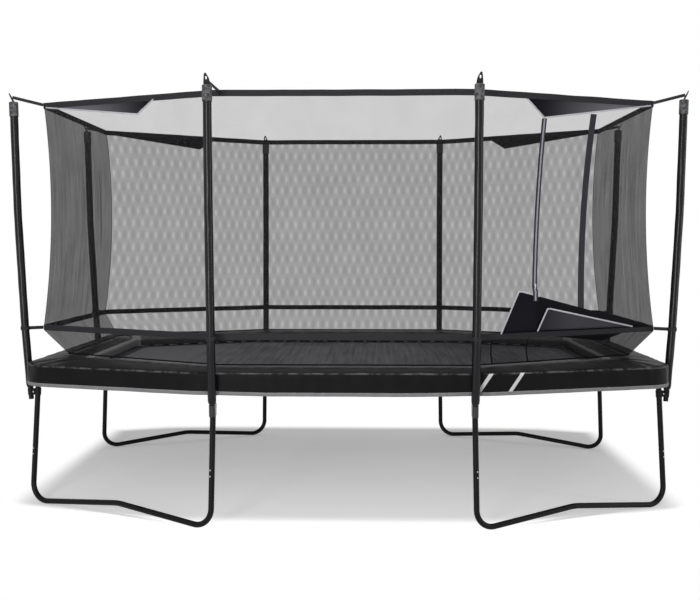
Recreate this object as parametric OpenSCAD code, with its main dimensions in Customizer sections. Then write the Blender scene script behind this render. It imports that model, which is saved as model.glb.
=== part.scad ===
// Rectangular garden trampoline with rounded corners, eight net poles and a
// safety net. It stands on the floor at z = 0, the long side runs along X,
// and the entrance is on the corner face at +X, -Y. All sizes in millimetres.

/* [Frame] */
// Half the rail's length, centre of the frame to the tube's centre line
rail_half_l = 2030; // [2000:1:2060]
// Half the rail's width, centre of the frame to the tube's centre line
rail_half_w = 1325; // [1250:1:1400]
// Distance of the rail's corner from the middle of its short side
corner_y = 1000; // [980:1:1020]
// Radius of the rail's corners at the tube's centre line
corner_r = 200; // [180:1:220]
// Where the long side's slight bend lies, from the middle
bend_x = 860; // [850:1:900]
// Outer diameter of the rail tube
rail_d = 42; // [38:1:46]
// Height of the rail's centre line
rail_z = 880; // [870:1:890]
// Wall of every steel tube
wall = 2; // [1.5:0.5:3]

/* [Legs] */
// Distance of the long-side legs from the middle of the long side
long_leg_x = 775; // [720:1:820]
// Distance of the short-side legs from the middle of the short side
side_leg_y = 765; // [740:1:790]
// Outer diameter of the leg tubes
leg_d = 35; // [33:1:36]
// Outward reach of the feet beyond the rail
foot_out = 50; // [30:1:60]
// Splay of the short-side leg along its leg frame
side_splay = 28; // [10:1:35]
// Splay of the long-side leg along its leg frame
long_splay = 4; // [0:1:15]
// Radius of the bend at each foot
foot_bend_r = 110; // [90:1:130]
// Rise of the base tube towards its middle, in degrees
base_rise = 5.7; // [4:0.1:7]
// Height of the joint between upright and foot tube
leg_joint_z = 340; // [300:1:380]

/* [Poles] */
// Outer diameter of the padded sleeve
sleeve_d = 52; // [48:1:54]
// Outer diameter of the pole tube
pole_d = 32; // [30:1:33]
// Height where the pole tube ends below the pad
pole_z0 = 680; // [670:1:690]
// Height of the slight lower bend in the pole, where a strap ring holds it
pole_joint_z = 1150; // [1140:1:1160]
// Height of the slight bend in the upper pole tube
pole_bend_z = 1900; // [1800:1:2000]
// Height where the cap begins
cap_z0 = 2514; // [2500:1:2530]
// Height of the cap's top
cap_z1 = 2607; // [2600:1:2620]
// Length of the webbing loop above the cap
loop_h = 66; // [50:1:80]

/* [Net] */
// Height of the top edge of the net's top band
rim_z = 2610; // [2600:1:2620]
// Width of the top and lower bands
band_w = 38; // [30:1:40]
// Height of the lower band's top edge
low_z = 1168; // [1160:1:1176]
// Height of the net's bottom hem
hem_z = 958; // [956:1:970]
// How far the net is drawn in at half height
waist = 48; // [0:1:60]
// How much higher the net's rim and the poles stand at the short sides
rim_lift = 16; // [0:1:25]
// Thickness of the net cloth
net_t = 1.5; // [1:0.5:2]

/* [Pad and mat] */
// Width of the edge pad without its light inner trim
pad_w = 290; // [270:1:300]
// Width of the light inner trim
trim_w = 40; // [30:1:60]
// Thickness of the jumping mat
mat_t = 2; // [2:0.5:3]
// Distance from the rail's centre line to the mat's edge
spring_gap = 280; // [270:1:290]
// Where the mat's long side ends
mat_bend_x = 850; // [820:1:880]
// Where the mat's short side ends
mat_bend_y = 650; // [620:1:680]
// Width of the mat's webbing border
border_w = 90; // [70:1:100]

/* [Hidden] */
$fn = 48;

steel = "#26262b";
zinc = "#b9bcc2";
cloth = "#1f1f24";
light = "#a3a3a6";

rail_r = rail_d / 2;
leg_r = leg_d / 2;
pole_r = pole_d / 2;
sleeve_r = sleeve_d / 2;
fit = 0.2;
split_x = 640;

// Top of each leg axis on the rail's centre line, for the +X +Y quarter
side_top = [rail_half_l, side_leg_y, rail_z];
long_top = [long_leg_x, rail_half_w, rail_z];
chord = side_top - long_top;
along = chord / norm(chord);
outward = [-along.y, along.x, 0];
side_foot = [side_top.x, side_top.y, 0] + foot_out * outward + side_splay * along;
long_foot = [long_top.x, long_top.y, 0] + foot_out * outward - long_splay * along;
frame_tilt = atan(foot_out / rail_z);
frame_angle = atan2(along.y, along.x);
base_l = norm(side_foot - long_foot);
side_lean = atan(side_splay / rail_z);
long_lean = atan(long_splay / rail_z);

// Point of a line from foot to top at height z
function at_height(top, foot, z) = foot + (top - foot) * z / top.z;
function side_leg(z) = at_height(side_top, side_foot, z);
function long_leg(z) = at_height(long_top, long_foot, z);

// How far a pole stands outside its leg's top, by height
off_z = [pole_z0, pole_joint_z, pole_bend_z, 2650];
off_d = [54, 86, 118, 131];
function pole_off(z) = lookup(z, [for (i = [0:3]) [off_z[i], off_d[i]]]);
function side_pole(z) = [side_top.x + pole_off(z), side_top.y, z];
function long_pole(z) = [long_top.x, long_top.y + pole_off(z), z];

// Corners of the eight-sided net for the +X +Y quarter, by height
band_x = long_leg_x;
band_y = [1300, 1265];
side_x = [2012, 1985];
side_y = 700;
skirt_in = [100, 132, 140];
function mix(a, b, t) = a + (b - a) * t;
function net_t_of(z) = (z - low_z) / (rim_z - low_z);
function draw_in(z) = z < low_z ? 0 : waist * 4 * net_t_of(z) * (1 - net_t_of(z));
function skirt_of(z) = max(0, (low_z - band_w - z) / (low_z - band_w - hem_z));
function lean_in(ends, z) = mix(ends[0], ends[1], max(0, net_t_of(z))) - draw_in(z);
function long_corner(z) = [band_x, lean_in(band_y, z) - skirt_in[2] * skirt_of(z), z];
function side_corner(z) =
    [lean_in(side_x, z) - skirt_in[1] * skirt_of(z), side_y - skirt_in[0] * skirt_of(z),
        z + rim_lift * max(0, net_t_of(z))];
net_rows = [low_z + 2, 1450, 1890, 2330, rim_z - band_w - 2];
skirt_rows = [hem_z, 1040, low_z - band_w - 2];
seam = 5;
seam_s = 0.006;

// Point on the corner face: s runs from the long side's corner to the short side's
face_out = [0.42, 0.9075, 0];
function face_pt(s, z, off) = mix(long_corner(z), side_corner(z), s) + off * face_out;

// Entrance lines on the corner face, as s at the door's bottom and top
door_z = [1430, 2462];
door_mid = [1890, 2330];
zip_s = [0.343, 0.3915];
side_s = [0.557, 0.618];
zip_w = 0.027;
gap_left = 0.006;
gap_right = 0.013;
slider_z = 1440;
slider_off = 5;
function line_s(ends, z) = mix(ends[0], ends[1], (z - door_z[0]) / (door_z[1] - door_z[0]));

// ---- Helpers ----

// Cylinder or cone between two points
module rod(p, q, r1, r2) {
    d = q - p;
    translate(p)
        rotate([0, acos(d.z / norm(d)), atan2(d.y, d.x)])
            cylinder(h = norm(d), r1 = r1, r2 = r2);
}

// Straight length of tube from a to b in the local XY plane. A hair's gap at
// each end keeps it apart from the bend that it runs into.
weld = 0.02;

module tube_run(a, b, ro, ri) {
    d = b - a;
    translate([a.x, a.y, 0])
        rotate([0, 90, atan2(d.y, d.x)])
            translate([0, 0, weld])
                difference() {
                    cylinder(h = norm(d) - 2 * weld, r = ro);
                    translate([0, 0, -1])
                        cylinder(h = norm(d) + 2, r = ri);
                }
}

// Bend of a tube in the local XY plane, swept anticlockwise from an angle
module tube_bend(center, radius, from, sweep, ro, ri) {
    translate([center.x, center.y, 0])
        rotate([0, 0, from])
            rotate_extrude(angle = sweep)
                translate([radius, 0])
                    difference() {
                        circle(ro);
                        circle(ri);
                    }
}

// Tube through points in the local XY plane that turn anticlockwise
module tube_path(pts, radius, ro, ri) {
    n = len(pts);
    dir = [for (i = [0:n - 2]) (pts[i + 1] - pts[i]) / norm(pts[i + 1] - pts[i])];
    turn = [for (i = [0:n - 3]) atan2(dir[i + 1].y, dir[i + 1].x) - atan2(dir[i].y, dir[i].x)];
    trim = [0, for (t = turn) radius * tan(t / 2), 0];
    for (i = [0:n - 2])
        tube_run(pts[i] + trim[i] * dir[i], pts[i + 1] - trim[i + 1] * dir[i], ro, ri);
    for (i = [0:1:n - 3])
        tube_bend(pts[i + 1] - trim[i + 1] * dir[i] + radius * [-dir[i].y, dir[i].x], radius,
            atan2(-dir[i].x, dir[i].y), turn[i], ro, ri);
}

// Flat webbing between two points, with its width upright
module strap(p, q, w, t) {
    d = q - p;
    translate(p)
        rotate([0, -asin(d.z / norm(d)), atan2(d.y, d.x)])
            translate([0, -t / 2, -w / 2])
                cube([norm(d), t, w]);
}

// Thin closed sheet between two grids of the same size, each a list of rows
module sheet(inner, outer) {
    n = len(inner);
    pts = [for (row = inner) each row, for (row = outer) each row];
    m = 2 * n;
    faces = [
        for (i = [0:n - 2]) each [
            [2 * i, 2 * i + 1, 2 * i + 3], [2 * i, 2 * i + 3, 2 * i + 2],
            [m + 2 * i, m + 2 * i + 3, m + 2 * i + 1], [m + 2 * i, m + 2 * i + 2, m + 2 * i + 3],
            [2 * i, 2 * i + 2, m + 2 * i + 2], [2 * i, m + 2 * i + 2, m + 2 * i],
            [2 * i + 1, m + 2 * i + 3, 2 * i + 3], [2 * i + 1, m + 2 * i + 1, m + 2 * i + 3]
        ],
        [0, m, m + 1], [0, m + 1, 1],
        [m - 2, m - 1, 2 * m - 1], [m - 2, 2 * m - 1, 2 * m - 2]
    ];
    polyhedron(pts, faces);
}

// Sheet on the corner face: rows of [s from, s to, z, push], between two outward
// offsets. The push, where there is one, moves a row further out.
module face_sheet(rows, off0, off1) {
    push = [for (r = rows) len(r) > 3 ? r[3] : 0];
    sheet([for (i = [0:len(rows) - 1]) face_row(rows[i], off0 + push[i])],
        [for (i = [0:len(rows) - 1]) face_row(rows[i], off1 + push[i])]);
}

function face_row(r, off) = [face_pt(r[0], r[2], off), face_pt(r[1], r[2], off)];

// Sheet across the long side, and across the short side
function long_row(z, off) =
    [long_corner(z) + [-seam, off, 0], long_corner(z) + [seam - 2 * band_x, off, 0]];
function side_row(z, off) =
    [side_corner(z) + [off, seam - 2 * side_corner(z).y, 0], side_corner(z) + [off, -seam, 0]];

module long_sheet(rows) {
    sheet([for (z = rows) long_row(z, 0)], [for (z = rows) long_row(z, net_t)]);
}

module side_sheet(rows) {
    sheet([for (z = rows) side_row(z, 0)], [for (z = rows) side_row(z, net_t)]);
}

module left() {
    mirror([1, 0, 0])
        children();
}

module front() {
    mirror([0, 1, 0])
        children();
}

module all_corners() {
    children();
    left() children();
    front() children();
    left() front() children();
}

// ---- Rail ----

module rail_straight() {
    color(steel)
        translate([-split_x + fit, rail_half_w, rail_z])
            rotate([0, 90, 0])
                difference() {
                    cylinder(h = 2 * split_x - 2 * fit, r = rail_r);
                    translate([0, 0, -1])
                        cylinder(h = 2 * split_x + 2, r = rail_r - wall);
                }
}

// Corners of the rail's centre line and of the mat, for the +X +Y quarter,
// from the middle of the short side to the middle of the long side
rail_line = [[rail_half_l, 0], [rail_half_l, corner_y], [bend_x, rail_half_w], [0, rail_half_w]];
rail_bends = [corner_r, 400];
mat_line = [[rail_half_l - spring_gap, 0], [rail_half_l - spring_gap, mat_bend_y],
    [mat_bend_x, rail_half_w - spring_gap], [0, rail_half_w - spring_gap]];
mat_bends = [120, 420];

// Direction of each length of such a line, and how far each bend reaches along it
function dirs(line) = [for (i = [0:2]) (line[i + 1] - line[i]) / norm(line[i + 1] - line[i])];
function heading(dir) = atan2(dir.y, dir.x);
function turn_of(line, i) = heading(dirs(line)[i + 1]) - heading(dirs(line)[i]);
function reach(line, bends) = [0, for (i = [0:1]) bends[i] * tan(turn_of(line, i) / 2), 0];

leg_top_z = 850;

// Straight length of the rail between two points, with a socket under it for a leg
module rail_run(a, b, socket_top, socket_foot) {
    dir = (b - a) / norm(b - a);
    from = a + weld * dir;
    to = b - weld * dir;
    socket_r = leg_r + 3.5;
    socket_z = 800;
    difference() {
        union() {
            rod([from.x, from.y, rail_z], [to.x, to.y, rail_z], rail_r, rail_r);
            rod(at_height(socket_top, socket_foot, socket_z), at_height(socket_top, socket_foot, rail_z),
                socket_r, socket_r);
        }
        rod([from.x, from.y, rail_z] - [dir.x, dir.y, 0], [to.x, to.y, rail_z] + [dir.x, dir.y, 0],
            rail_r - wall, rail_r - wall);
        rod(at_height(socket_top, socket_foot, socket_z - 10),
            at_height(socket_top, socket_foot, leg_top_z + 7), leg_r + fit, leg_r + fit);
    }
}

module rail_corner() {
    cut = reach(rail_line, rail_bends);
    dir = dirs(rail_line);
    color(steel) {
        rail_run([rail_half_l, fit / 2], [rail_half_l, corner_y - cut[1]], side_top, side_foot);
        translate([0, 0, rail_z]) {
            for (i = [0:1])
                tube_bend(bend_center(rail_line, rail_bends, i), rail_bends[i], heading(dir[i]) - 90,
                    turn_of(rail_line, i), rail_r, rail_r - wall);
            tube_run(rail_line[1] + cut[1] * dir[1], rail_line[2] - cut[2] * dir[1], rail_r, rail_r - wall);
        }
        rail_run([bend_x - cut[2], rail_half_w], [split_x, rail_half_w], long_top, long_foot);
    }
}

// ---- Legs ----

module upright(top, foot) {
    spigot = 60;
    color(steel)
        difference() {
            union() {
                rod(at_height(top, foot, leg_joint_z + fit), at_height(top, foot, leg_top_z), leg_r, leg_r);
                rod(at_height(top, foot, leg_joint_z - spigot), at_height(top, foot, leg_joint_z + 5),
                    leg_r - wall - fit, leg_r - wall - fit);
            }
            rod(at_height(top, foot, leg_joint_z - spigot - 1), at_height(top, foot, leg_top_z + 1),
                leg_r - 2 * wall, leg_r - 2 * wall);
        }
}

// Foot tube in the plane of its leg frame: x along the base from the long-side
// leg, y up. Each bend is an arc between two tangent straights.
sole_y = leg_r / cos(frame_tilt);
bend_y = sole_y + foot_bend_r;
joint_y = leg_joint_z / cos(frame_tilt);
side_bend_x = base_l - foot_bend_r / cos(side_lean) - bend_y * tan(side_lean);
long_bend_x = foot_bend_r / cos(long_lean) + bend_y * tan(long_lean);
side_base = [side_bend_x - foot_bend_r * sin(base_rise), bend_y - foot_bend_r * cos(base_rise)];
long_base = [long_bend_x + foot_bend_r * sin(base_rise), side_base.y];
half_base = (side_base.x - long_base.x) / 2;
mid_r = 350;
mid_run = mid_r * tan(base_rise);
mid_y = side_base.y + half_base * tan(base_rise);

side_joint = [base_l - joint_y * tan(side_lean), joint_y];
long_joint = [joint_y * tan(long_lean), joint_y];
side_rise = [side_bend_x + foot_bend_r * cos(side_lean), bend_y + foot_bend_r * sin(side_lean)];
long_rise = [long_bend_x - foot_bend_r * cos(long_lean), bend_y + foot_bend_r * sin(long_lean)];
mid_x = long_base.x + half_base;
mid_half = mid_r * sin(base_rise);
mid_low = mid_y - mid_run * sin(base_rise);

module foot_tube() {
    ri = leg_r - wall;
    color(steel)
        translate(long_foot)
            rotate([90 + frame_tilt, 0, frame_angle]) {
                tube_run(side_joint, side_rise, leg_r, ri);
                tube_bend([side_bend_x, bend_y], foot_bend_r, -90 - base_rise, 90 + base_rise + side_lean,
                    leg_r, ri);
                tube_run(side_base, [mid_x + mid_half, mid_low], leg_r, ri);
                tube_bend([mid_x, mid_y - mid_r / cos(base_rise)], mid_r, 90 - base_rise, 2 * base_rise,
                    leg_r, ri);
                tube_run([mid_x - mid_half, mid_low], long_base, leg_r, ri);
                tube_bend([long_bend_x, bend_y], foot_bend_r, 180 - long_lean, 90 + base_rise + long_lean,
                    leg_r, ri);
                tube_run(long_rise, long_joint, leg_r, ri);
            }
}

// ---- Poles ----

bow_r = 3000;
function pole_pt(z) = [pole_off(z), z];

// Stands its children's XY plane upright over a leg's top, facing outward
module over_side_leg() {
    translate([side_top.x, side_top.y, 0])
        rotate([90, 0, 0])
            children();
}

module over_long_leg() {
    translate([long_top.x, long_top.y, 0])
        rotate([90, 0, 90])
            children();
}

// Lower and upper tube of one pole
module pole_tubes(rise) {
    ri = pole_r - wall;
    half_bow = 60;
    color(steel) {
        tube_path([pole_pt(pole_z0), pole_pt(pole_joint_z - half_bow)], bow_r, pole_r, ri);
        tube_path([pole_pt(pole_joint_z - half_bow + 2 * fit), pole_pt(pole_joint_z), pole_pt(pole_bend_z),
            pole_pt(cap_z1 - 50 + rise)], bow_r, pole_r, ri);
    }
}

module side_pole_tubes() {
    over_side_leg()
        pole_tubes(rim_lift);
}

module long_pole_tubes() {
    over_long_leg()
        pole_tubes(0);
}

// Padded sleeve, tapered over its lowest stretch
module sleeve(rise) {
    taper_z = 757;
    full_z = 780;
    low = pole_pt(taper_z);
    full = pole_pt(full_z);
    bore_r = pole_r + fit;
    translate([low.x, low.y, 0])
        rotate([0, 90, atan2(full.y - low.y, full.x - low.x)])
            difference() {
                cylinder(h = norm(full - low) - weld, r1 = pole_r + 2, r2 = sleeve_r);
                translate([0, 0, -1])
                    cylinder(h = norm(full - low) + 2, r = bore_r);
            }
    tube_path([full, pole_pt(pole_joint_z), pole_pt(pole_bend_z), pole_pt(cap_z0 - fit + rise)],
        bow_r, sleeve_r, bore_r);
}

module pole_sleeves() {
    color(cloth)
        all_corners() {
            over_side_leg()
                sleeve(rim_lift);
            over_long_leg()
                sleeve(0);
        }
}

// Turned cap on the axis from p0 to p1, bored from below
module cap(p0, p1) {
    d = p1 - p0;
    h = norm(d);
    bore_h = 0.52 * h;
    bore_r = pole_r + fit;
    cap_r = sleeve_r + 3;
    translate(p0)
        rotate([0, acos(d.z / h), atan2(d.y, d.x)])
            rotate_extrude()
                polygon([[0, bore_h], [bore_r, bore_h], [bore_r, 0], [cap_r, 0], [cap_r, h],
                    [cap_r - 5, h + 3.6], [0, h + 3.6]]);
}

module pole_caps() {
    color("#6f6f73")
        all_corners() {
            cap(side_pole(cap_z0 + rim_lift), side_pole(cap_z1 + rim_lift - 4));
            cap(long_pole(cap_z0), long_pole(cap_z1 - 4));
        }
}

// Webbing loop: a fin with an eye, standing on the cap
module fin() {
    fin_t = 3;
    rotate([90, 0, 0])
        translate([0, 0, -fin_t / 2])
            linear_extrude(fin_t)
                difference() {
                    polygon([[-19, 0], [20, 0], [18, 30], [14, loop_h - 6], [10, loop_h], [4, loop_h],
                        [-4, 54], [-14, 36]]);
                    translate([3, 38])
                        circle(6.5);
                }
}

module pole_loops() {
    lean = 14;
    color(cloth)
        all_corners() {
            translate(long_pole(cap_z1) + [0, 0, 1])
                rotate([-lean, 0, 0])
                    fin();
            translate(side_pole(cap_z1 + rim_lift) + [0, 0, 1])
                rotate([-2 * lean, 0, -90])
                    fin();
        }
}

// ---- Clamps and bolts ----

// Ring round the leg, ring round the pole stub and a web between them
module clamp(leg0, leg1, pole0, pole1) {
    web = 22;
    bolt_bore_r = 3.3;
    mid = (leg0 + leg1 + pole0 + pole1) / 4;
    gap = (pole0 + pole1) / 2 - (leg0 + leg1) / 2;
    difference() {
        union() {
            rod(leg0, leg1, leg_r + 3.5, leg_r + 3.5);
            rod(pole0, pole1, pole_r + 3, pole_r + 3);
            translate(mid)
                rotate([0, 0, atan2(gap.y, gap.x)])
                    cube([norm(gap), web, leg1.z - leg0.z - 4], center = true);
        }
        rod(leg0 + (leg0 - leg1), leg1 + (leg1 - leg0), leg_r + fit, leg_r + fit);
        rod(pole0 + (pole0 - pole1), pole1 + (pole1 - pole0), pole_r + fit, pole_r + fit);
        translate(mid)
            rotate([90, 0, atan2(gap.y, gap.x)])
                cylinder(h = 60, r = bolt_bore_r, center = true);
    }
}

side_clamp_z = [708, 752];
long_clamp_z = [684, 752];

module side_clamps() {
    z0 = side_clamp_z[0];
    z1 = side_clamp_z[1];
    color(steel)
        all_corners()
            clamp(side_leg(z0), side_leg(z1), side_pole(z0), side_pole(z1));
}

module long_clamps() {
    z0 = long_clamp_z[0];
    z1 = long_clamp_z[1];
    color(zinc)
        all_corners()
            clamp(long_leg(z0), long_leg(z1), long_pole(z0), long_pole(z1));
}

// Bolt through the clamp's web, with a head and a nut
module clamp_bolt(leg_pt, pole_pt) {
    gap = pole_pt - leg_pt;
    shank_r = 3;
    head_r = 5;
    head_h = 5;
    head_z = 11 + fit;
    translate((leg_pt + pole_pt) / 2)
        rotate([90, 0, atan2(gap.y, gap.x)]) {
            cylinder(h = 30, r = shank_r, center = true);
            translate([0, 0, head_z])
                cylinder(h = head_h, r = head_r, $fn = 6);
            translate([0, 0, -head_z - head_h])
                cylinder(h = head_h, r = head_r, $fn = 6);
        }
}

// Screw head on the outer side of a leg joint
module leg_screw(p) {
    rod(p + (leg_r + 2 * fit) * outward, p + (leg_r + 4) * outward, 5, 4);
}

module bolts() {
    side_z = (side_clamp_z[0] + side_clamp_z[1]) / 2;
    long_z = (long_clamp_z[0] + long_clamp_z[1]) / 2;
    color("#77777c")
        all_corners() {
            clamp_bolt(side_leg(side_z), side_pole(side_z));
            clamp_bolt(long_leg(long_z), long_pole(long_z));
            for (dz = [-18, 18]) {
                leg_screw(side_leg(leg_joint_z + dz));
                leg_screw(long_leg(leg_joint_z + dz));
            }
        }
}

// ---- Mat, rings and springs ----

mat_z = 870;
arc_steps = 8;

// Rounded line through a quarter's corners, as points from the short side's
// middle to the long side's middle
function outs(line, i, n) =
    [for (k = [0:n]) let (a = heading(dirs(line)[i]) + turn_of(line, i) * k / n) [sin(a), -cos(a)]];
function bend_center(line, bends, i) =
    let (dir = dirs(line)[i])
    line[i + 1] - reach(line, bends)[i + 1] * dir + bends[i] * [-dir.y, dir.x];
function arc_points(line, bends, i, n) =
    [for (out = outs(line, i, n)) bend_center(line, bends, i) + bends[i] * out];
function both_arcs(line, bends, n) =
    [each arc_points(line, bends, 0, n), each arc_points(line, bends, 1, n)];
function rounded(line, bends) = [line[0], each both_arcs(line, bends, arc_steps), line[3]];

// A quarter's corners moved inwards by d
function shrunk(line, d) =
    [line[0] - [d, 0], line[1] - [d, 0.4 * d], line[2] - [0.2 * d, d], line[3] - [0, d]];

module mat_plate(d, h) {
    quarter = rounded(shrunk(mat_line, d), mat_bends);
    n = len(quarter);
    linear_extrude(h)
        polygon([
            each quarter,
            for (i = [n - 2:-1:1]) [-quarter[i].x, quarter[i].y],
            for (i = [0:n - 1]) -quarter[i],
            for (i = [n - 2:-1:1]) [quarter[i].x, -quarter[i].y]
        ]);
}

module mat() {
    color("#3c3c40")
        translate([0, 0, mat_z])
            mat_plate(0, mat_t);
}

module mat_border() {
    border_t = 2.5;
    color(cloth)
        translate([0, 0, mat_z - border_t])
            difference() {
                mat_plate(0, border_t);
                translate([0, 0, -1])
                    mat_plate(border_w, border_t + 2);
            }
}

// A spring is its point on the mat's edge, its point on the rail, and the way
// the mat's edge runs there. Along each side it stands square to the mat;
// round a corner the springs fan out.
long_count = 15;
side_count = 11;
fan_count = 8;

function mix_line(line, t) = line[0] + (line[1] - line[0]) * t;
mat_face = [mat_line[2], mat_line[1]];
rail_face = [[930, 1301], [1985, 960]];
fan_springs = [for (i = [0:fan_count - 1])
    [mix_line(mat_face, (i + 0.6) / (fan_count + 0.35)), mix_line(rail_face, (i + 0.5) / fan_count),
        dirs(mat_line)[1]]];
long_springs = [for (i = [0:long_count - 1])
    let (x = mix(-mat_bend_x + 40, mat_bend_x - 40, i / (long_count - 1)))
    [[x, rail_half_w - spring_gap], [x, rail_half_w], [1, 0]]];
side_springs = [for (i = [0:side_count - 1])
    let (y = mix(-mat_bend_y + 75, mat_bend_y - 75, i / (side_count - 1)))
    [[rail_half_l - spring_gap, y], [rail_half_l, y], [0, 1]]];

function turned(p, sx, sy) = [for (v = p) [v.x * sx, v.y * sy]];
all_springs = [
    for (p = long_springs, sy = [-1, 1]) turned(p, 1, sy),
    for (p = side_springs, sx = [-1, 1]) turned(p, sx, 1),
    for (p = fan_springs, sx = [-1, 1], sy = [-1, 1]) turned(p, sx, sy)
];

// Puts its children at a spring's mat end, with +Y pointing towards the rail
module place_spring(p) {
    translate(p[0])
        rotate([0, 0, heading(p[1] - p[0]) - 90])
            children();
}

// Flat ring with its base along the mat's edge and its tip towards the spring
module ring_shape(p, base, tip, base_out, tip_out) {
    way = (p[1] - p[0]) / norm(p[1] - p[0]);
    edge = p[2];
    polygon([p[0] - base * edge + base_out * way, p[0] + base * edge + base_out * way,
        p[0] + tip * edge + tip_out * way, p[0] - tip * edge + tip_out * way]);
}

module mat_rings() {
    wire = 4;
    color(zinc)
        translate([0, 0, mat_z - 1])
            for (p = all_springs)
                linear_extrude(wire)
                    difference() {
                        ring_shape(p, 24, 5, 1, 37);
                        ring_shape(p, 16, 2, 5, 32);
                    }
}

module springs() {
    coil_r = 11;
    coil_in = 48;
    hook_r = 2.5;
    color(zinc)
        translate([0, 0, mat_z + 2])
            for (p = all_springs)
                place_spring(p) {
                    gap = norm(p[1] - p[0]);
                    translate([0, coil_in, 0])
                        rotate([-90, 0, 0])
                            cylinder(h = gap - 2 * coil_in, r = coil_r, $fn = 24);
                    translate([0, coil_in - 9, 0])
                        rotate([-90, 0, 0])
                            cylinder(h = 12, r = hook_r, $fn = 16);
                    translate([0, gap - coil_in - 2, 0])
                        rotate([-90, 0, 0])
                            cylinder(h = 26, r = hook_r, $fn = 16);
                }
}

// ---- Edge pad ----

// Sections as [distance outside the rail's centre line, height]
skin = 2.5;
pad_out = 29;
hem_top = 822;
pad_in = pad_out - pad_w;
pad_section = [[pad_out, hem_top], [pad_out, 925], [pad_out - 3, 934], [pad_out - 9, 940],
    [pad_out - 20, 944], [-40, 950], [-110, 952], [-170, 949], [-220, 943], [pad_in, 934],
    [pad_in, 892], [-60, 903], [pad_out - skin, 903], [pad_out - skin, hem_top]];
hem_low = 800;
hem_section = [[pad_out - skin, hem_low], [pad_out + 1, hem_low],
    [pad_out + 1, hem_top - fit], [pad_out - skin, hem_top - fit]];
trim_section = [[pad_in - fit, 933], [pad_in - trim_w, 925], [pad_in - trim_w, 889], [pad_in - fit, 891.8]];

// Stations round a quarter: a point of the rail's line, its outward direction,
// and the point of the pad's inner edge that belongs to it
pad_line = shrunk(mat_line, -18.8);
arc_stations = 6;

rail_arc = both_arcs(rail_line, rail_bends, arc_stations);
rail_out = [each outs(rail_line, 0, arc_stations), each outs(rail_line, 1, arc_stations)];
pad_arc = both_arcs(pad_line, mat_bends, arc_stations);

// Point of a section at a station: outside the rail it follows the rail's own
// direction, inside it runs along the line to the pad's inner edge
function spot(p, rail, out, inner) =
    let (xy = p.x > 0 ? rail + p.x * out : mix(rail, inner, p.x / pad_in))
    [xy.x, xy.y, p.y];

// Closed body through sections at stations, each [rail, out, inner]
module loft(section, stations) {
    m = len(section);
    n = len(stations);
    pts = [for (t = stations) for (p = section) spot(p, t[0], t[1], t[2])];
    faces = [
        [for (j = [0:m - 1]) j],
        for (i = [0:n - 2], j = [0:m - 1]) each [
            [i * m + j, (i + 1) * m + j, (i + 1) * m + (j + 1) % m],
            [i * m + j, (i + 1) * m + (j + 1) % m, i * m + (j + 1) % m]
        ],
        [for (j = [m - 1:-1:0]) (n - 1) * m + j]
    ];
    polyhedron(pts, faces);
}

function corner_stations(y0, x0) = [
    [[rail_half_l, y0], [1, 0], [pad_line[0].x, y0]],
    for (i = [0:len(rail_arc) - 1]) [rail_arc[i], rail_out[i], pad_arc[i]],
    [[x0, rail_half_w], [0, 1], [x0, pad_line[3].y]]
];

module pad_long() {
    color(cloth)
        translate([-split_x + 0.5, rail_half_w, 0])
            rotate([90, 0, 90])
                linear_extrude(2 * split_x - 1)
                    polygon(pad_section);
}

module pad_corner() {
    color(cloth)
        loft(pad_section, corner_stations(0.5, split_x + 0.5));
}

module ring_of(section) {
    all_corners()
        loft(section, corner_stations(0, 0));
}

module pad_hem() {
    color(light)
        ring_of(hem_section);
}

module pad_inner_trim() {
    color(light)
        ring_of(trim_section);
}

// ---- Net ----

module net_long() {
    color(cloth, 0.5) {
        long_sheet(net_rows);
        long_sheet(skirt_rows);
    }
}

module net_side() {
    color(cloth, 0.5) {
        side_sheet(net_rows);
        side_sheet(skirt_rows);
    }
}

module net_face() {
    for (rows = [net_rows, skirt_rows])
        face_sheet([for (z = rows) [seam_s, 1 - seam_s, z]], 0, net_t);
}

module net_corner() {
    color(cloth, 0.5)
        net_face();
}

// Corner net with a doorway: full-width sheets above and below two side sheets,
// each a hair apart from the next
module net_entrance() {
    gap_s = 0.005;
    gap_z = 4;
    end_s = 1 - seam_s;
    door_rows = [door_z[0] - gap_z, door_mid[0], door_mid[1], door_z[1] + gap_z];
    color(cloth, 0.5) {
        face_sheet([for (z = skirt_rows) [seam_s, end_s, z]], 0, net_t);
        face_sheet([for (z = [net_rows[0], door_rows[0] - fit]) [seam_s, end_s, z]], 0, net_t);
        face_sheet([for (z = [door_rows[3] + fit, net_rows[4]]) [seam_s, end_s, z]], 0, net_t);
        face_sheet([for (z = door_rows) [seam_s, line_s(zip_s, z) - gap_s, z]], 0, net_t);
        face_sheet([for (z = door_rows) [line_s(side_s, z) + 2 * gap_s, end_s, z]], 0, net_t);
    }
}

module entrance_door() {
    rows = [door_z[0], door_mid[0], door_mid[1], door_z[1]];
    color(cloth, 0.5)
        face_sheet([for (z = rows) [line_s(zip_s, z), line_s(side_s, z), z]], 0, net_t);
}

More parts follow.
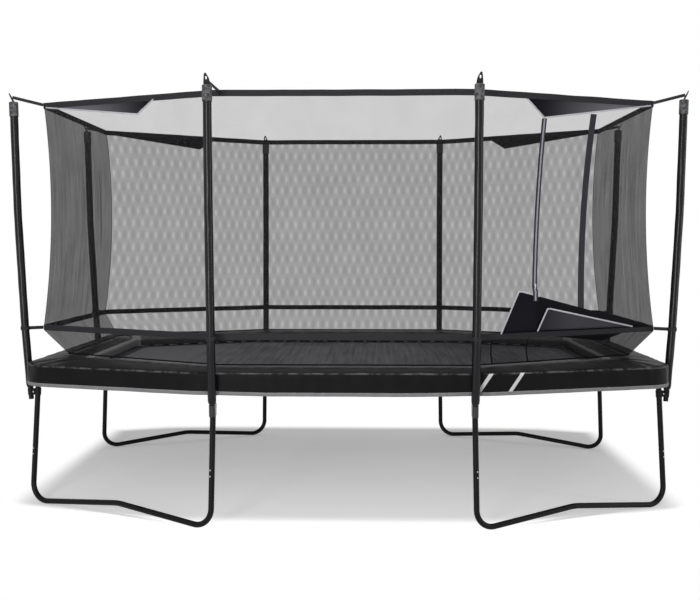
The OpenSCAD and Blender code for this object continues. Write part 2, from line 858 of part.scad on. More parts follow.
// Band round all eight corners, with its top edge through the corners at height z
module band_ring(z) {
    t = 3;
    b = long_corner(z);
    a = side_corner(z);
    quarter = [[b, [t / 3, t]], [a, [t, t / 3]]];
    flips = [[1, 1], [1, -1], [-1, -1], [-1, 1]];
    corners = [for (i = [0:3]) for (c = i % 2 == 0 ? quarter : [quarter[1], quarter[0]])
        [[c[0].x * flips[i].x, c[0].y * flips[i].y, c[0].z], [c[1].x * flips[i].x, c[1].y * flips[i].y]]];
    pts = [for (c = corners) each [
        c[0], c[0] + [c[1].x, c[1].y, 0], c[0] + [c[1].x, c[1].y, -band_w], c[0] - [0, 0, band_w]]];
    n = len(pts);
    polyhedron(pts, [for (i = [0:4:n - 1], j = [0:3]) each [
        [i + j, (i + 4) % n + j, i + (j + 1) % 4],
        [(i + 4) % n + j, (i + 4) % n + (j + 1) % 4, i + (j + 1) % 4]
    ]]);
}

module top_band() {
    color(cloth)
        band_ring(rim_z);
}

module lower_band() {
    color(cloth)
        band_ring(low_z);
}

// Triangle below the top band on a corner face. Its top edge starts at top_s,
// and its lower tip is at tip_s and height low.
module corner_panel(top_s, tip_s, low) {
    off = net_t + 0.7;
    face_sheet([[tip_s - 0.005, tip_s + 0.005, low], [top_s, 0.985, rim_z - band_w - 2]], off, off + 1.5);
}

module corner_panels() {
    color("#20202a") {
        corner_panel(0.33, 0.425, 2498);
        left() corner_panel(0.33, 0.425, 2498);
        left() front() corner_panel(0.33, 0.425, 2498);
        front() corner_panel(0.265, 0.37, 2466);
    }
}

// ---- Entrance, on the corner face at +X -Y ----

module door_tapes() {
    tape_w = 0.035;
    tape_off = [2.2, 3.4];
    upper = [[door_z[0], 0.2], [door_mid[0], 0], [door_mid[1], 0], [door_z[1], 0]];
    zip_rows = [for (h = [[1385, 1.9], each upper])
        [line_s(zip_s, h[0]) - gap_left - zip_w, line_s(zip_s, h[0]) - gap_left, h[0], h[1]]];
    side_rows = [for (h = [[1290, 5], [1360, 4.2], each upper, [2505, 1.2]])
        [line_s(side_s, h[0]) + gap_right, line_s(side_s, h[0]) + gap_right + tape_w, h[0], h[1]]];
    color("#2a2a33")
        front() {
            face_sheet(zip_rows, tape_off[0], tape_off[1]);
            face_sheet(side_rows, tape_off[0], tape_off[1]);
        }
}

module zip_slider() {
    s = line_s(zip_s, slider_z) - gap_left - zip_w / 2;
    color(zinc)
        front()
            translate(face_pt(s, slider_z, slider_off))
                rotate([0, 0, atan2(face_out.y, face_out.x)]) {
                    translate([0, -6, 0])
                        cube([5, 12, 16]);
                    translate([5.2, -3, -14])
                        cube([2, 6, 24]);
                    translate([4.8, -2, 2])
                        cube([0.6, 4, 5]);
                }
}

module entrance_panels() {
    color("#20202a")
        front() {
            face_sheet([[0.131, 0.985, low_z + 4], [0.231, 0.25, 1411]], 12, 13.5);
            face_sheet([[0.322, 0.86, low_z + 8], [0.382, 0.40, 1302]], 18, 19.5);
        }
}

// ---- Straps between the bands and the poles ----

module strap_ring(p0, p1) {
    difference() {
        rod(p0, p1, sleeve_r + 3, sleeve_r + 3);
        rod(p0 + (p0 - p1), p1 + (p1 - p0), sleeve_r + fit, sleeve_r + fit);
    }
}

module strap_to(corner, pole, start, end, w) {
    run = [pole.x - corner.x, pole.y - corner.y, pole.z - corner.z];
    dir = run / norm(run);
    strap(corner + start * dir, pole - end * dir, w, 2);
}

module pole_straps() {
    top_z = 2596;
    over_cap = 14;
    tie_z = 1150;
    tie_end = sleeve_r + 2.5;
    band_gap = 9;
    color(cloth)
        all_corners() {
            strap_to(long_corner(top_z), long_pole(cap_z1 + over_cap), band_gap, 3.2, 20);
            strap_to(side_corner(top_z), side_pole(cap_z1 + rim_lift + 2 * over_cap), band_gap, -5.9, 20);
            strap_to(long_corner(tie_z), long_pole(tie_z), band_gap, tie_end, 22);
            strap_to(side_corner(tie_z), side_pole(tie_z), band_gap, tie_end, 22);
            strap_ring(long_pole(tie_z - 12), long_pole(tie_z + 12));
            strap_ring(side_pole(tie_z - 12), side_pole(tie_z + 12));
        }
}

front() rail_straight();  // rail_front
rail_straight();  // rail_back
left() front() rail_corner();  // rail_corner_front_left
front() rail_corner();  // rail_corner_front_right
left() rail_corner();  // rail_corner_back_left
rail_corner();  // rail_corner_back_right
left() front() upright(long_top, long_foot);  // leg_front_left
front() upright(long_top, long_foot);  // leg_front_right
left() upright(long_top, long_foot);  // leg_back_left
upright(long_top, long_foot);  // leg_back_right
left() front() upright(side_top, side_foot);  // leg_left_front
left() upright(side_top, side_foot);  // leg_left_back
front() upright(side_top, side_foot);  // leg_right_front
upright(side_top, side_foot);  // leg_right_back
left() front() foot_tube();  // foot_front_left
front() foot_tube();  // foot_front_right
left() foot_tube();  // foot_back_left
foot_tube();  // foot_back_right
left() front() long_pole_tubes();  // pole_front_left
front() long_pole_tubes();  // pole_front_right
left() long_pole_tubes();  // pole_back_left
long_pole_tubes();  // pole_back_right
left() front() side_pole_tubes();  // pole_left_front
left() side_pole_tubes();  // pole_left_back
front() side_pole_tubes();  // pole_right_front
side_pole_tubes();  // pole_right_back
pole_sleeves();
pole_caps();
pole_loops();
side_clamps();
long_clamps();
bolts();
mat();
mat_border();
mat_rings();
springs();
front() pad_long();  // pad_front
pad_long();  // pad_back
left() front() pad_corner();  // pad_corner_front_left
front() pad_corner();  // pad_corner_front_right
left() pad_corner();  // pad_corner_back_left
pad_corner();  // pad_corner_back_right
pad_hem();
pad_inner_trim();
front() net_long();  // net_front
net_long();  // net_back
left() net_side();  // net_left
net_side();  // net_right
left() front() net_corner();  // net_front_left
front() net_entrance();  // net_front_right
left() net_corner();  // net_back_left
net_corner();  // net_back_right
top_band();
lower_band();
corner_panels();
door_tapes();
zip_slider();
front() entrance_door();
entrance_panels();
pole_straps();
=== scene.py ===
from math import atan2, ceil, cos, exp, pi, radians, sin, sqrt, tan

import bmesh
import bpy
from mathutils import Matrix, Vector, noise


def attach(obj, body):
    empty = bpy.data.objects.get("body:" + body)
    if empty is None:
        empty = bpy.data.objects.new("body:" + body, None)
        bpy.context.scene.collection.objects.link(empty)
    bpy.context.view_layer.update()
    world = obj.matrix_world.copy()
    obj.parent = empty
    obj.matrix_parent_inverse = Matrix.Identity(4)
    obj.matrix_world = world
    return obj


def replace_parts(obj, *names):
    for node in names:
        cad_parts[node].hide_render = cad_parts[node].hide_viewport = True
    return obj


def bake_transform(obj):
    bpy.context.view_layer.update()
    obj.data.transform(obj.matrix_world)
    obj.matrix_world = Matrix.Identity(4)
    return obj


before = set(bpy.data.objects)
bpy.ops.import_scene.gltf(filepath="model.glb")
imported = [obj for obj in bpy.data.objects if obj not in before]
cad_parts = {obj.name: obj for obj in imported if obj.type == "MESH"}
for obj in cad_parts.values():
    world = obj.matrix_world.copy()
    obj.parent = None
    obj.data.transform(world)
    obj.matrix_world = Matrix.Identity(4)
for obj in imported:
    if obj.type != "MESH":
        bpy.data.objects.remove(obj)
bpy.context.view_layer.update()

# ---- View ----
# The trampoline is seen from the front at a standing person's eye height, a
# little to the right of its middle, through a moderately long lens.
scene = bpy.context.scene
scene.view_settings.view_transform = "Standard"
pitch_down = 3.438
turned_left = 1.2605
camera = bpy.data.objects.new("camera", bpy.data.cameras.new("camera"))
camera.location = (0.1545, -6.628, 1.69)
camera.rotation_euler = (radians(90 - pitch_down), 0, radians(turned_left))
camera.data.sensor_width = 36
camera.data.lens = 46.29
camera.data.clip_end = 300
scene.collection.objects.link(camera)
scene.camera = camera


# ---- Finishes, floor and light ----
# A plain white studio: a matt floor that turns pure white beyond the shade under
# the trampoline, a soft box overhead, and two tall ones that light the poles.
class Field:
    """A value that varies over a surface. Sums on it become Math nodes."""

    def __init__(self, finish, socket):
        self.finish = finish
        self.socket = socket

    def sum(self, operation, a, b=0.0):
        return self.finish.node("Math", {"operation": operation}, {0: a, 1: b})

    def __add__(self, other):
        return self.sum("ADD", self, other)

    def __sub__(self, other):
        return self.sum("SUBTRACT", self, other)

    def __rsub__(self, other):
        return self.sum("SUBTRACT", other, self)

    def __mul__(self, other):
        return self.sum("MULTIPLY", self, other)

    def __abs__(self):
        return self.sum("ABSOLUTE", self)

    def above(self, edge):
        return self.sum("GREATER_THAN", self, edge)

    def below(self, edge):
        return self.sum("LESS_THAN", self, edge)

    def least(self, other):
        return self.sum("MINIMUM", self, other)

    def most(self, other):
        return self.sum("MAXIMUM", self, other)

    def wave(self):
        return self.sum("SINE", self)

    def fade(self, start, end):
        """0 at start, 1 at end, smooth between them."""
        return self.finish.node("MapRange", {"interpolation_type": "SMOOTHSTEP"},
                                {"Value": self, "From Min": start, "From Max": end})


class Finish:
    """A material: a Principled shader and the nodes that vary it."""

    def __init__(self, name, color, roughness, **constants):
        self.material = bpy.data.materials.new(name)
        self.material.use_nodes = True
        self.tree = self.material.node_tree
        self.tree.nodes.clear()
        self.out = self.tree.nodes.new("ShaderNodeOutputMaterial")
        self.shader = self.tree.nodes.new("ShaderNodeBsdfPrincipled")
        self.tree.links.new(self.shader.outputs[0], self.out.inputs["Surface"])
        self.set("Base Color", color)
        self.set("Roughness", roughness)
        for key, value in constants.items():
            self.set(key.replace("_", " "), value)

    def put(self, socket, value):
        if isinstance(value, Field):
            self.tree.links.new(value.socket, socket)
        elif socket.type == "RGBA" and len(value) == 3:
            socket.default_value = (*value, 1.0)
        else:
            socket.default_value = value

    def set(self, name, value):
        self.put(self.shader.inputs[name], value)

    def node(self, kind, settings=None, inputs=None, output=0):
        new = self.tree.nodes.new("ShaderNode" + kind)
        for key, value in (settings or {}).items():
            setattr(new, key, value)
        for key, value in (inputs or {}).items():
            self.put(new.inputs[key], value)
        return Field(self, new.outputs[output])

    def mix(self, amount, a, b):
        """Colour a where amount is 0, colour b where it is 1."""
        return self.node("Mix", {"data_type": "RGBA"}, {"Factor": amount, 6: a, 7: b}, output=2)

    def at(self, space="Object"):
        return self.node("TexCoord", output={"Object": 3, "UV": 2}[space])

    def axis(self, where, letter):
        return self.node("SeparateXYZ", None, {0: where}, output="XYZ".index(letter))

    def noise(self, where, scale, detail=3.0, stretch=(1, 1, 1)):
        spot = self.node("Mapping", None, {"Vector": where, "Scale": stretch})
        return self.node("TexNoise", None, {"Vector": spot, "Scale": scale, "Detail": detail})

    def bump(self, height, distance, strength=1.0):
        self.set("Normal", self.node("Bump", None, {"Height": height, "Distance": distance,
                                                    "Strength": strength}))


class Floor(Finish):
    def light_rays(self):
        """1 for rays that come from the camera or from a mirror or glass."""
        rays = [self.node("LightPath", output=i) for i in (0, 3, 6)]
        return rays[0].most(rays[1]).most(rays[2])


floor_white = Floor("floor_white", (0.93, 0.93, 0.93), 0.9, Specular_IOR_Level=0.0)
floor_mesh = bmesh.new()
bmesh.ops.create_grid(floor_mesh, x_segments=1, y_segments=1, size=90)
floor = bpy.data.objects.new("floor", bpy.data.meshes.new("floor"))
floor_mesh.to_mesh(floor.data)
floor_mesh.free()
floor.data.materials.append(floor_white.material)
scene.collection.objects.link(floor)
floor_at = floor_white.at()
floor_x = abs(floor_white.axis(floor_at, "X"))
floor_y = floor_white.axis(floor_at, "Y")
# The shade under the trampoline gets a painted eight-sided edge: beyond it the floor turns pure white.
shade_x = 2.10
shade_y = 1.36
shade_corner = 1.86
floor_off = abs(floor_y - 0.25)
beyond = (floor_x - shade_x).most(floor_off - shade_y)
beyond = beyond.most(floor_x * 0.34 + floor_off * 0.94 - shade_corner)
# A painted glow lifts the floor that the camera sees, most towards the front and the middle, so the shade
# under the trampoline is painted lighter towards the front.
glow_to_front = floor_y.fade(1.7, -1.3)
middle = 1 - floor_x.fade(0.3, 2.2)
seen_floor = floor_white.light_rays()
lift = seen_floor * (glow_to_front * 0.19 + middle * 0.05 + 0.19)
painted_floor_glow = floor_white.node("Emission", None, {"Color": lift, "Strength": 1.0})
matt = Field(floor_white, floor_white.shader.outputs[0])
both = floor_white.node("AddShader", None, {0: matt, 1: painted_floor_glow})
white = floor_white.node("Emission", None, {"Color": (1, 1, 1), "Strength": 1.0})
cleared = seen_floor * beyond.fade(-0.05, 0.16)
floor_white.put(floor_white.out.inputs["Surface"],
                floor_white.node("MixShader", None, {0: cleared, 1: both, 2: white}))

world = bpy.data.worlds.new("studio")
world.use_nodes = True
scene.world = world
sky = world.node_tree
sky.nodes.clear()
levels = []
for level in (0.30, 1.0):
    backdrop = sky.nodes.new("ShaderNodeBackground")
    backdrop.inputs["Color"].default_value = (1, 1, 1, 1)
    backdrop.inputs["Strength"].default_value = level
    levels.append(backdrop.outputs[0])
rays = sky.nodes.new("ShaderNodeLightPath")
seen = rays.outputs["Is Camera Ray"]
for kind in ("Is Glossy Ray", "Is Transmission Ray"):
    either = sky.nodes.new("ShaderNodeMath")
    either.operation = "MAXIMUM"
    sky.links.new(seen, either.inputs[0])
    sky.links.new(rays.outputs[kind], either.inputs[1])
    seen = either.outputs[0]
sky_mix = sky.nodes.new("ShaderNodeMixShader")
sky_out = sky.nodes.new("ShaderNodeOutputWorld")
sky.links.new(seen, sky_mix.inputs[0])
sky.links.new(levels[0], sky_mix.inputs[1])
sky.links.new(levels[1], sky_mix.inputs[2])
sky.links.new(sky_mix.outputs[0], sky_out.inputs["Surface"])


def soft_box(name, place, aim, wide, tall, watts):
    lamp = bpy.data.objects.new(name, bpy.data.lights.new(name, "AREA"))
    lamp.data.shape = "RECTANGLE"
    lamp.data.size = wide
    lamp.data.size_y = tall
    lamp.data.energy = watts
    lamp.location = place
    lamp.rotation_euler = (Vector(aim) - Vector(place)).to_track_quat("-Z", "Y").to_euler()
    scene.collection.objects.link(lamp)


soft_box("overhead", (0, -2.9, 9.4), (0, 0, 0), 1.0, 1.0, 560)
soft_box("left_strip", (-2.8, -8.6, 2.0), (0, -0.6, 1.6), 1.8, 4.0, 300)
soft_box("right_strip", (8.5, -3.5, 2.2), (0, -0.6, 1.6), 1.0, 4.0, 100)

# ---- Steel frame ----
# Rail, legs, U-shaped feet and net poles are round steel tubes with a black
# powder coat. The uprights slip over spigots and are held by screws.
powder_coat = Finish("powder_coat", (0.003, 0.003, 0.0036), 0.34, Specular_IOR_Level=0.13)
coat_at = powder_coat.at()
powder_coat.set("Roughness", powder_coat.noise(coat_at, 14) * 0.2 + 0.3)
powder_coat.bump(powder_coat.noise(coat_at, 900, 1.0), 0.00006)


def dress(node, finish):
    """Gives a CAD node its finish."""
    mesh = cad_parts[node].data
    mesh.materials.clear()
    mesh.materials.append(finish.material)


sides = ("left", "right")
ends = ("front", "back")
for end in ends:
    dress(f"rail_{end}", powder_coat)
    for side in sides:
        for node in (f"rail_corner_{end}_{side}", f"leg_{end}_{side}", f"leg_{side}_{end}",
                     f"foot_{end}_{side}", f"pole_{end}_{side}", f"pole_{side}_{end}"):
            dress(node, powder_coat)

# ---- Clamps and bolts ----
# Each pole hangs in a two-ring clamp on its leg: galvanised on the long sides,
# black on the short sides. Zinc-plated bolts and screws hold everything.
galvanised = Finish("galvanised", (0.42, 0.43, 0.45), 0.42, Metallic=0.9)
spangle = galvanised.node("TexVoronoi", None, {"Vector": galvanised.at(), "Scale": 160}, output=1)
spangle_grey = galvanised.node("RGBToBW", None, {0: spangle})
galvanised.set("Roughness", spangle_grey * 0.25 + 0.3)
galvanised.set("Base Color", galvanised.mix(spangle_grey, (0.36, 0.37, 0.39), (0.5, 0.51, 0.53)))
clamp_steel = Finish("clamp_steel", (0.42, 0.43, 0.45), 0.4)
clamp_at = clamp_steel.at()
leg_side = 1 - abs(clamp_steel.axis(clamp_at, "Y")).above(1.352)
clamp_grey = clamp_steel.noise(clamp_at, 60, 3.0)
zinc_tone = clamp_steel.mix(clamp_grey, (0.30, 0.31, 0.33), (0.48, 0.49, 0.51))
clamp_steel.set("Base Color", clamp_steel.mix(leg_side, (0.005, 0.005, 0.006), zinc_tone))
clamp_steel.set("Metallic", leg_side * 0.9)
dress("long_clamps", clamp_steel)
dress("side_clamps", powder_coat)
dress("bolts", galvanised)


# ---- Jumping mat ----
# Woven black polypropylene, a rectangle with slanted corners, with a webbing
# border folded round its edge that holds the steel triangles for the springs.
class Course:
    """The rounded outline of a quarter, from the middle of the right side round
    the back right corner to the middle of the back, then mirrored all round.
    Its lengths are a straight, a bend, a straight, a bend and a straight."""

    def __init__(self, corners, bends):
        self.corners = [Vector((*corner, 0)) for corner in corners]
        self.ways = [(b - a).normalized() for a, b in zip(self.corners, self.corners[1:])]
        self.turns = [a.angle(b) for a, b in zip(self.ways, self.ways[1:])]
        self.bends = bends
        cuts = [0] + [bend * tan(turn / 2) for bend, turn in zip(bends, self.turns)] + [0]
        self.starts = [self.corners[i] + self.ways[i] * cuts[i] for i in range(3)]
        self.stops = [self.corners[i + 1] - self.ways[i] * cuts[i + 1] for i in range(3)]
        self.lengths = []
        for i in range(3):
            self.lengths.append((self.stops[i] - self.starts[i]).length)
            if i < 2:
                self.lengths.append(bends[i] * self.turns[i])
        self.quarter = sum(self.lengths)

    def piece_at(self, along):
        """Which of the five lengths a distance falls on, and what share of it."""
        for i, length in enumerate(self.lengths):
            if along <= length or i == 4:
                return i, min(1.0, along / length)
            along -= length

    def at(self, i, share):
        """The point and the outward direction at a share of length i."""
        way = self.ways[i // 2]
        out = Vector((way.y, -way.x, 0))
        if i % 2 == 0:
            return self.starts[i // 2].lerp(self.stops[i // 2], share), out
        bend = self.bends[i // 2]
        middle = self.stops[i // 2] - out * bend
        out = Matrix.Rotation(self.turns[i // 2] * share, 3, "Z") @ out
        return middle + out * bend, out

    def ring(self, run, other=None):
        """The point and outward direction a distance run round from the right
        side's middle, and the point of another course that belongs to it."""
        turn, along = divmod(run, self.quarter)
        turn = int(turn) % 4
        if turn % 2:
            along = self.quarter - along
        i, share = self.piece_at(along)
        found = list(self.at(i, share))
        if other:
            found.append(other.at(i, share)[0])
        flip = Vector((-1 if turn in (1, 2) else 1, -1 if turn in (2, 3) else 1, 1))
        return [vector * flip for vector in found]


mat_x = 1.750
mat_y = 1.045
mat_edge = Course([(mat_x, 0), (mat_x, 0.650), (0.850, mat_y), (0, mat_y)], (0.12, 0.42))
mat_round = 4 * mat_edge.quarter
mat_top = 0.872
mat_z = mat_top - 0.001


def shaped_grid(mesh, columns, rows, place, width=1.0, height=1.0):
    """Adds a grid whose points go where place(u, v) says, with UVs in metres."""
    uv = mesh.loops.layers.uv.verify()
    made = bmesh.ops.create_grid(mesh, x_segments=columns, y_segments=rows, size=0.5, calc_uvs=False)["verts"]
    faces = {face for vert in made for face in vert.link_faces}
    for face in faces:
        for loop in face.loops:
            loop[uv].uv = ((loop.vert.co.x + 0.5) * width, (loop.vert.co.y + 0.5) * height)
    for vert in made:
        vert.co = place(vert.co.x + 0.5, vert.co.y + 0.5)
    return made


def piece(name, mesh, finish, body="frame", sharp=50):
    """Turns a finished bmesh into an object that rides on a body, if one is named."""
    bmesh.ops.remove_doubles(mesh, verts=mesh.verts, dist=0.00002)
    bmesh.ops.recalc_face_normals(mesh, faces=mesh.faces)
    data = bpy.data.meshes.new(name)
    mesh.to_mesh(data)
    mesh.free()
    data.shade_smooth()
    data.set_sharp_from_angle(angle=radians(sharp))
    data.materials.append(finish.material)
    made = bpy.data.objects.new(name, data)
    scene.collection.objects.link(made)
    if body:
        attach(made, body)
    return made


def weave(finish, where, pitch, depth):
    """Over-and-under threads of one pitch, as a height from 0 to 1."""
    across = (finish.axis(where, "X") * (2 * pi / pitch)).wave()
    along = (finish.axis(where, "Y") * (2 * pi / pitch)).wave()
    height = across * along * 0.5 + 0.5
    finish.bump(height, depth)
    return height


mat_cloth = Finish("mat_cloth", (0.06, 0.06, 0.065), 0.62, Specular_IOR_Level=0.15)
mat_at = mat_cloth.at()
mat_threads = weave(mat_cloth, mat_at, 0.004, 0.0006)
mat_warp = mat_cloth.noise(mat_at, 1.0, 4.0, stretch=(42, 1.5, 1))
mat_patches = mat_cloth.noise(mat_at, 2.2, 4.0)
# The mat is painted lighter towards its left end, as sheen.
painted_mat_sheen = mat_cloth.axis(mat_at, "X").fade(-0.7, -1.5) * 0.8
mat_tone = (mat_patches - 0.5) * 1.2 + (mat_warp - 0.5) * 2.2 + mat_threads * 0.2 + painted_mat_sheen + 0.4
mat_tone = mat_tone.most(0).least(1)
mat_cloth.set("Base Color", mat_cloth.mix(mat_tone, (0.036, 0.036, 0.040), (0.105, 0.105, 0.112)))


def mat_point(u, v):
    edge = mat_edge.ring(u * mat_round)[0]
    spine = Vector((edge.x * 0.45, 0, 0))
    spot = spine.lerp(edge, v)
    spot.z = mat_z
    return spot


mesh = bmesh.new()
shaped_grid(mesh, 240, 20, mat_point)
mat = piece("mat_cloth", mesh, mat_cloth, "jumping_mat")
thick = mat.modifiers.new("thickness", "SOLIDIFY")
thick.thickness = 0.0018
thick.offset = 0
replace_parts(mat, "mat")

webbing_black = Finish("webbing_black", (0.008, 0.008, 0.009), 0.6, Specular_IOR_Level=0.12)
ribs_at = webbing_black.at("UV")
ribs = (webbing_black.axis(ribs_at, "Y") * (2 * pi / 0.0022)).wave() * 0.5 + 0.5
picks = (webbing_black.axis(ribs_at, "X") * (2 * pi / 0.0032)).wave() * 0.5 + 0.5
webbing_black.set("Base Color", webbing_black.mix(ribs * picks, (0.012, 0.012, 0.014), (0.044, 0.044, 0.049)))
webbing_black.bump(ribs * 0.7 + picks * 0.3, 0.0005)

border_wide = 0.09
border_half = 0.0016
border_loop = [(0, -1), (-0.004, 0.2), (0, 1.4), (0.5, 1.2), (0.994, 1.4), (1, 0.5), (1, -1), (0.5, -1.2)]


def along_loop(outline, v):
    """The point at share v of a closed outline whose sides count alike."""
    at = v * len(outline)
    i = int(at) % len(outline)
    return Vector(outline[i]).lerp(Vector(outline[(i + 1) % len(outline)]), at - int(at))


def border_point(u, v):
    """The border is folded round the mat's edge: a flat closed loop, 90 mm wide."""
    across, up = along_loop(border_loop, v)
    spot, out = mat_edge.ring(u * mat_round)
    spot -= border_wide * across * out
    spot.z = mat_z + border_half * up
    return spot


mesh = bmesh.new()
shaped_grid(mesh, 300, 16, border_point, mat_round, 0.2)
border = piece("mat_edge_webbing", mesh, webbing_black, "jumping_mat")
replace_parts(border, "mat_border")
dress("mat_rings", galvanised)

# ---- Springs ----
# Close-wound galvanised coil springs, one every 12 cm, from the mat's steel
# triangles to the rail.
coil_r = 0.011
wire_r = 0.0021
coil_turns = 22
coil_steps = 7
spring_z = mat_top
hook_in = 0.040
hook_out = 0.018
shank_in = 0.012
shank_out = 0.018
shank_lap = 0.002


def edges_at(verts):
    """Each edge that meets the vertices, once."""
    return list(dict.fromkeys(edge for vert in verts for edge in vert.link_edges))


def spring_mesh(mesh, gap):
    """One spring along +Y, from the mat's edge at 0 to the rail at gap."""
    start = hook_in + shank_in
    length = gap - start - hook_out - shank_out
    steps = coil_steps * coil_turns
    section = bmesh.ops.create_circle(mesh, segments=4, radius=wire_r,
                                      matrix=Matrix.Translation((coil_r, start, 0)))["verts"]
    bmesh.ops.spin(mesh, geom=section + edges_at(section), cent=(0, start, 0), axis=(0, 1, 0),
                   dvec=(0, length / steps, 0), angle=2 * pi * coil_turns, steps=steps)
    for near, far in ((hook_in, start + shank_lap), (start + length - shank_lap, gap - hook_out)):
        hook = Matrix.Translation((0, (near + far) / 2, 0)) @ Matrix.Rotation(pi / 2, 4, "X")
        bmesh.ops.create_cone(mesh, cap_ends=True, segments=6, radius1=wire_r, radius2=wire_r,
                              depth=far - near, matrix=hook)


def spring_piece(name, places):
    """Springs that run the same way, each from a point of the mat's edge to a
    point of the rail."""
    row = bmesh.new()
    data = bpy.data.meshes.new("spring")
    for near, far in places:
        way = far - near
        one = bmesh.new()
        spring_mesh(one, way.length)
        turn = Matrix.Rotation(atan2(-way.x, way.y), 4, "Z")
        one.transform(Matrix.Translation((near.x, near.y, spring_z)) @ turn)
        one.to_mesh(data)
        one.free()
        row.from_mesh(data)
    made = piece(name, row, galvanised, body=None)
    near, far = places[0]
    way = (far - near).normalized()
    lift = Vector((0, 0, spring_z))
    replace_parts(made, "springs")
    tuple(near + way * hook_in + lift)
    tuple(far - way * hook_out + lift)
    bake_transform(made)


def even(low, high, count):
    return [low + (high - low) * i / (count - 1) for i in range(count)]


rail_x = 2.030
rail_y = 1.325
spring_gap = 0.280
for name, sy in (("springs_back", 1), ("springs_front", -1)):
    spring_piece(name, [(Vector((x, sy * (rail_y - spring_gap), 0)), Vector((x, sy * rail_y, 0)))
                        for x in even(-0.810, 0.810, 15)])
for name, sx in (("springs_right", 1), ("springs_left", -1)):
    spring_piece(name, [(Vector((sx * (rail_x - spring_gap), y, 0)), Vector((sx * rail_x, y, 0)))
                        for y in even(-0.575, 0.575, 11)])
fan_count = 8
fan_from = Vector((0.930, 1.301, 0))
fan_to = Vector((1.985, 0.960, 0))
for sx in (-1, 1):
    for sy in (-1, 1):
        for i in range(fan_count):
            near = mat_edge.corners[2].lerp(mat_edge.corners[1], (i + 0.6) / (fan_count + 0.35))
            far = fan_from.lerp(fan_to, (i + 0.5) / fan_count)
            flip = Vector((sx, sy, 1))
            name = f"spring_{ends[(sy + 1) // 2]}_{sides[(sx + 1) // 2]}_{i}"
            spring_piece(name, [(near * flip, far * flip)])

# ---- Edge pad ----
# Foam slabs in black coated cloth lie over the springs. A skirt hangs outside
# the rail to a light grey bound hem, and a strip is sewn along the inner edge.
pad_cloth = Finish("pad_cloth", (0.007, 0.007, 0.0076), 0.5, Specular_IOR_Level=0.06)
pad_at = pad_cloth.at()
pad_x = pad_cloth.axis(pad_at, "X")
pad_y = pad_cloth.axis(pad_at, "Y")
pad_z = pad_cloth.axis(pad_at, "Z")
grain = pad_cloth.noise(pad_at, 700, 2.0)
creases = pad_cloth.noise(pad_at, 9, 5.0)
pad_tone = pad_cloth.mix(creases, (0.0036, 0.0036, 0.0040), (0.0076, 0.0076, 0.0082))
# A painted highlight runs along the pad's outer top edge, broken up by noise.
pad_around = pad_cloth.axis(pad_cloth.at("UV"), "Y")
painted_edge_highlight = pad_around.fade(0.106, 0.122) * pad_around.fade(0.168, 0.150)
painted_edge_highlight = painted_edge_highlight * pad_cloth.noise(pad_at, 22, 4.0).fade(0.36, 0.62)
pad_tone = pad_cloth.mix(painted_edge_highlight * 0.85, pad_tone, (0.075, 0.075, 0.078))
light_tape = abs(abs(pad_x) - 1.742 - (pad_y - 0.6) * 0.22).below(0.034)
light_tape = light_tape * pad_y.above(0.62) * pad_z.above(0.90)
slant = abs(pad_x) - (pad_z - 0.89) * 0.70
stripe = (abs(slant - 0.8385).below(0.0135)).most(abs(slant - 1.0310).below(0.0125))
stripe = stripe * pad_x.above(0) * pad_y.below(-1.25) * pad_z.above(0.826) * pad_z.below(0.938)
pad_tone = pad_cloth.mix(light_tape, pad_tone, (0.20, 0.20, 0.205))
pad_cloth.set("Base Color", pad_cloth.mix(stripe, pad_tone, (0.52, 0.52, 0.525)))
pad_cloth.set("Roughness", creases * 0.2 + 0.36)
pad_cloth.bump(grain * 0.25 + creases, 0.0012)

hem_grey = Finish("hem_grey", (0.30, 0.30, 0.305), 0.6)
hem_at = hem_grey.at()
hem_clouds = hem_grey.noise(hem_at, 25, 4.0)
hem_grey.set("Base Color", hem_grey.mix(hem_clouds, (0.10, 0.10, 0.105), (0.18, 0.18, 0.185)))
hem_grey.bump(hem_grey.noise(hem_at, 500), 0.0005)

rail = Course([(rail_x, 0), (rail_x, 1.000), (0.860, rail_y), (0, rail_y)], (0.20, 0.40))
pad_edge = Course([(1.7688, 0), (1.7688, 0.6575), (0.8538, 1.0638), (0, 1.0638)], (0.12, 0.42))
quarter = rail.quarter
rail_round = 4 * quarter
pad_in = 0.261
# Outlines of the pad's parts: distance outside the rail and height, both in mm.
pad_loop = [(29, 806), (29, 850), (29, 890), (29, 925), (27, 933), (22, 939), (14, 942.5), (0, 945.5),
            (-40, 950), (-80, 951.5), (-120, 952), (-170, 949), (-220, 943), (-252, 936), (-259, 931),
            (-261, 924), (-261, 900), (-258, 892), (-240, 891), (-150, 896), (-60, 903), (0, 903),
            (22, 903), (26.3, 900), (26.3, 860), (26.3, 806)]


def rail_point(run, out_by, z):
    """out_by is the distance outside the rail; a negative one runs to the pad's inner edge."""
    spot, out, inner = rail.ring(run, pad_edge)
    if out_by > 0:
        spot += out_by * out
    else:
        spot += (inner - spot) * (-out_by / pad_in)
    spot.z = z
    return spot


def limited(value):
    return max(0.0, min(1.0, value))


gather_at = 1.04
gather_wide = 0.17


def folds(run, out_by, z):
    """How far the pad's cloth stands off its plain shape, in metres. It puckers
    most round the four corners, where the cloth is gathered."""
    skirt = limited((0.93 - z) / 0.11)
    top = 1.0 - skirt
    past = abs(run % (2 * quarter) - quarter)
    gathered = exp(-((quarter - past - gather_at) / gather_wide) ** 2)
    hang = noise.noise((run * 5.5, z * 2.5, 3.1)) * 0.007
    hang += noise.noise((run * 17, z * 6, 8.3)) * 0.003
    pucker = noise.noise((run * 14, out_by * 9, 1.7)) * 0.0035
    pucker += noise.noise((run * 31, out_by * 12, 5.2)) * 0.0015
    radial = noise.noise((run * 24, out_by * 3, 9.4)) * 0.009
    return hang * skirt + (pucker + radial * gathered) * top


def hem_drop(run):
    """0 in the middle of a long side, where the skirt hangs lowest, 1 elsewhere."""
    along = abs(run % (2 * quarter) - quarter)
    return limited((along - 0.45) / 0.30)


hem_lift = 0.007


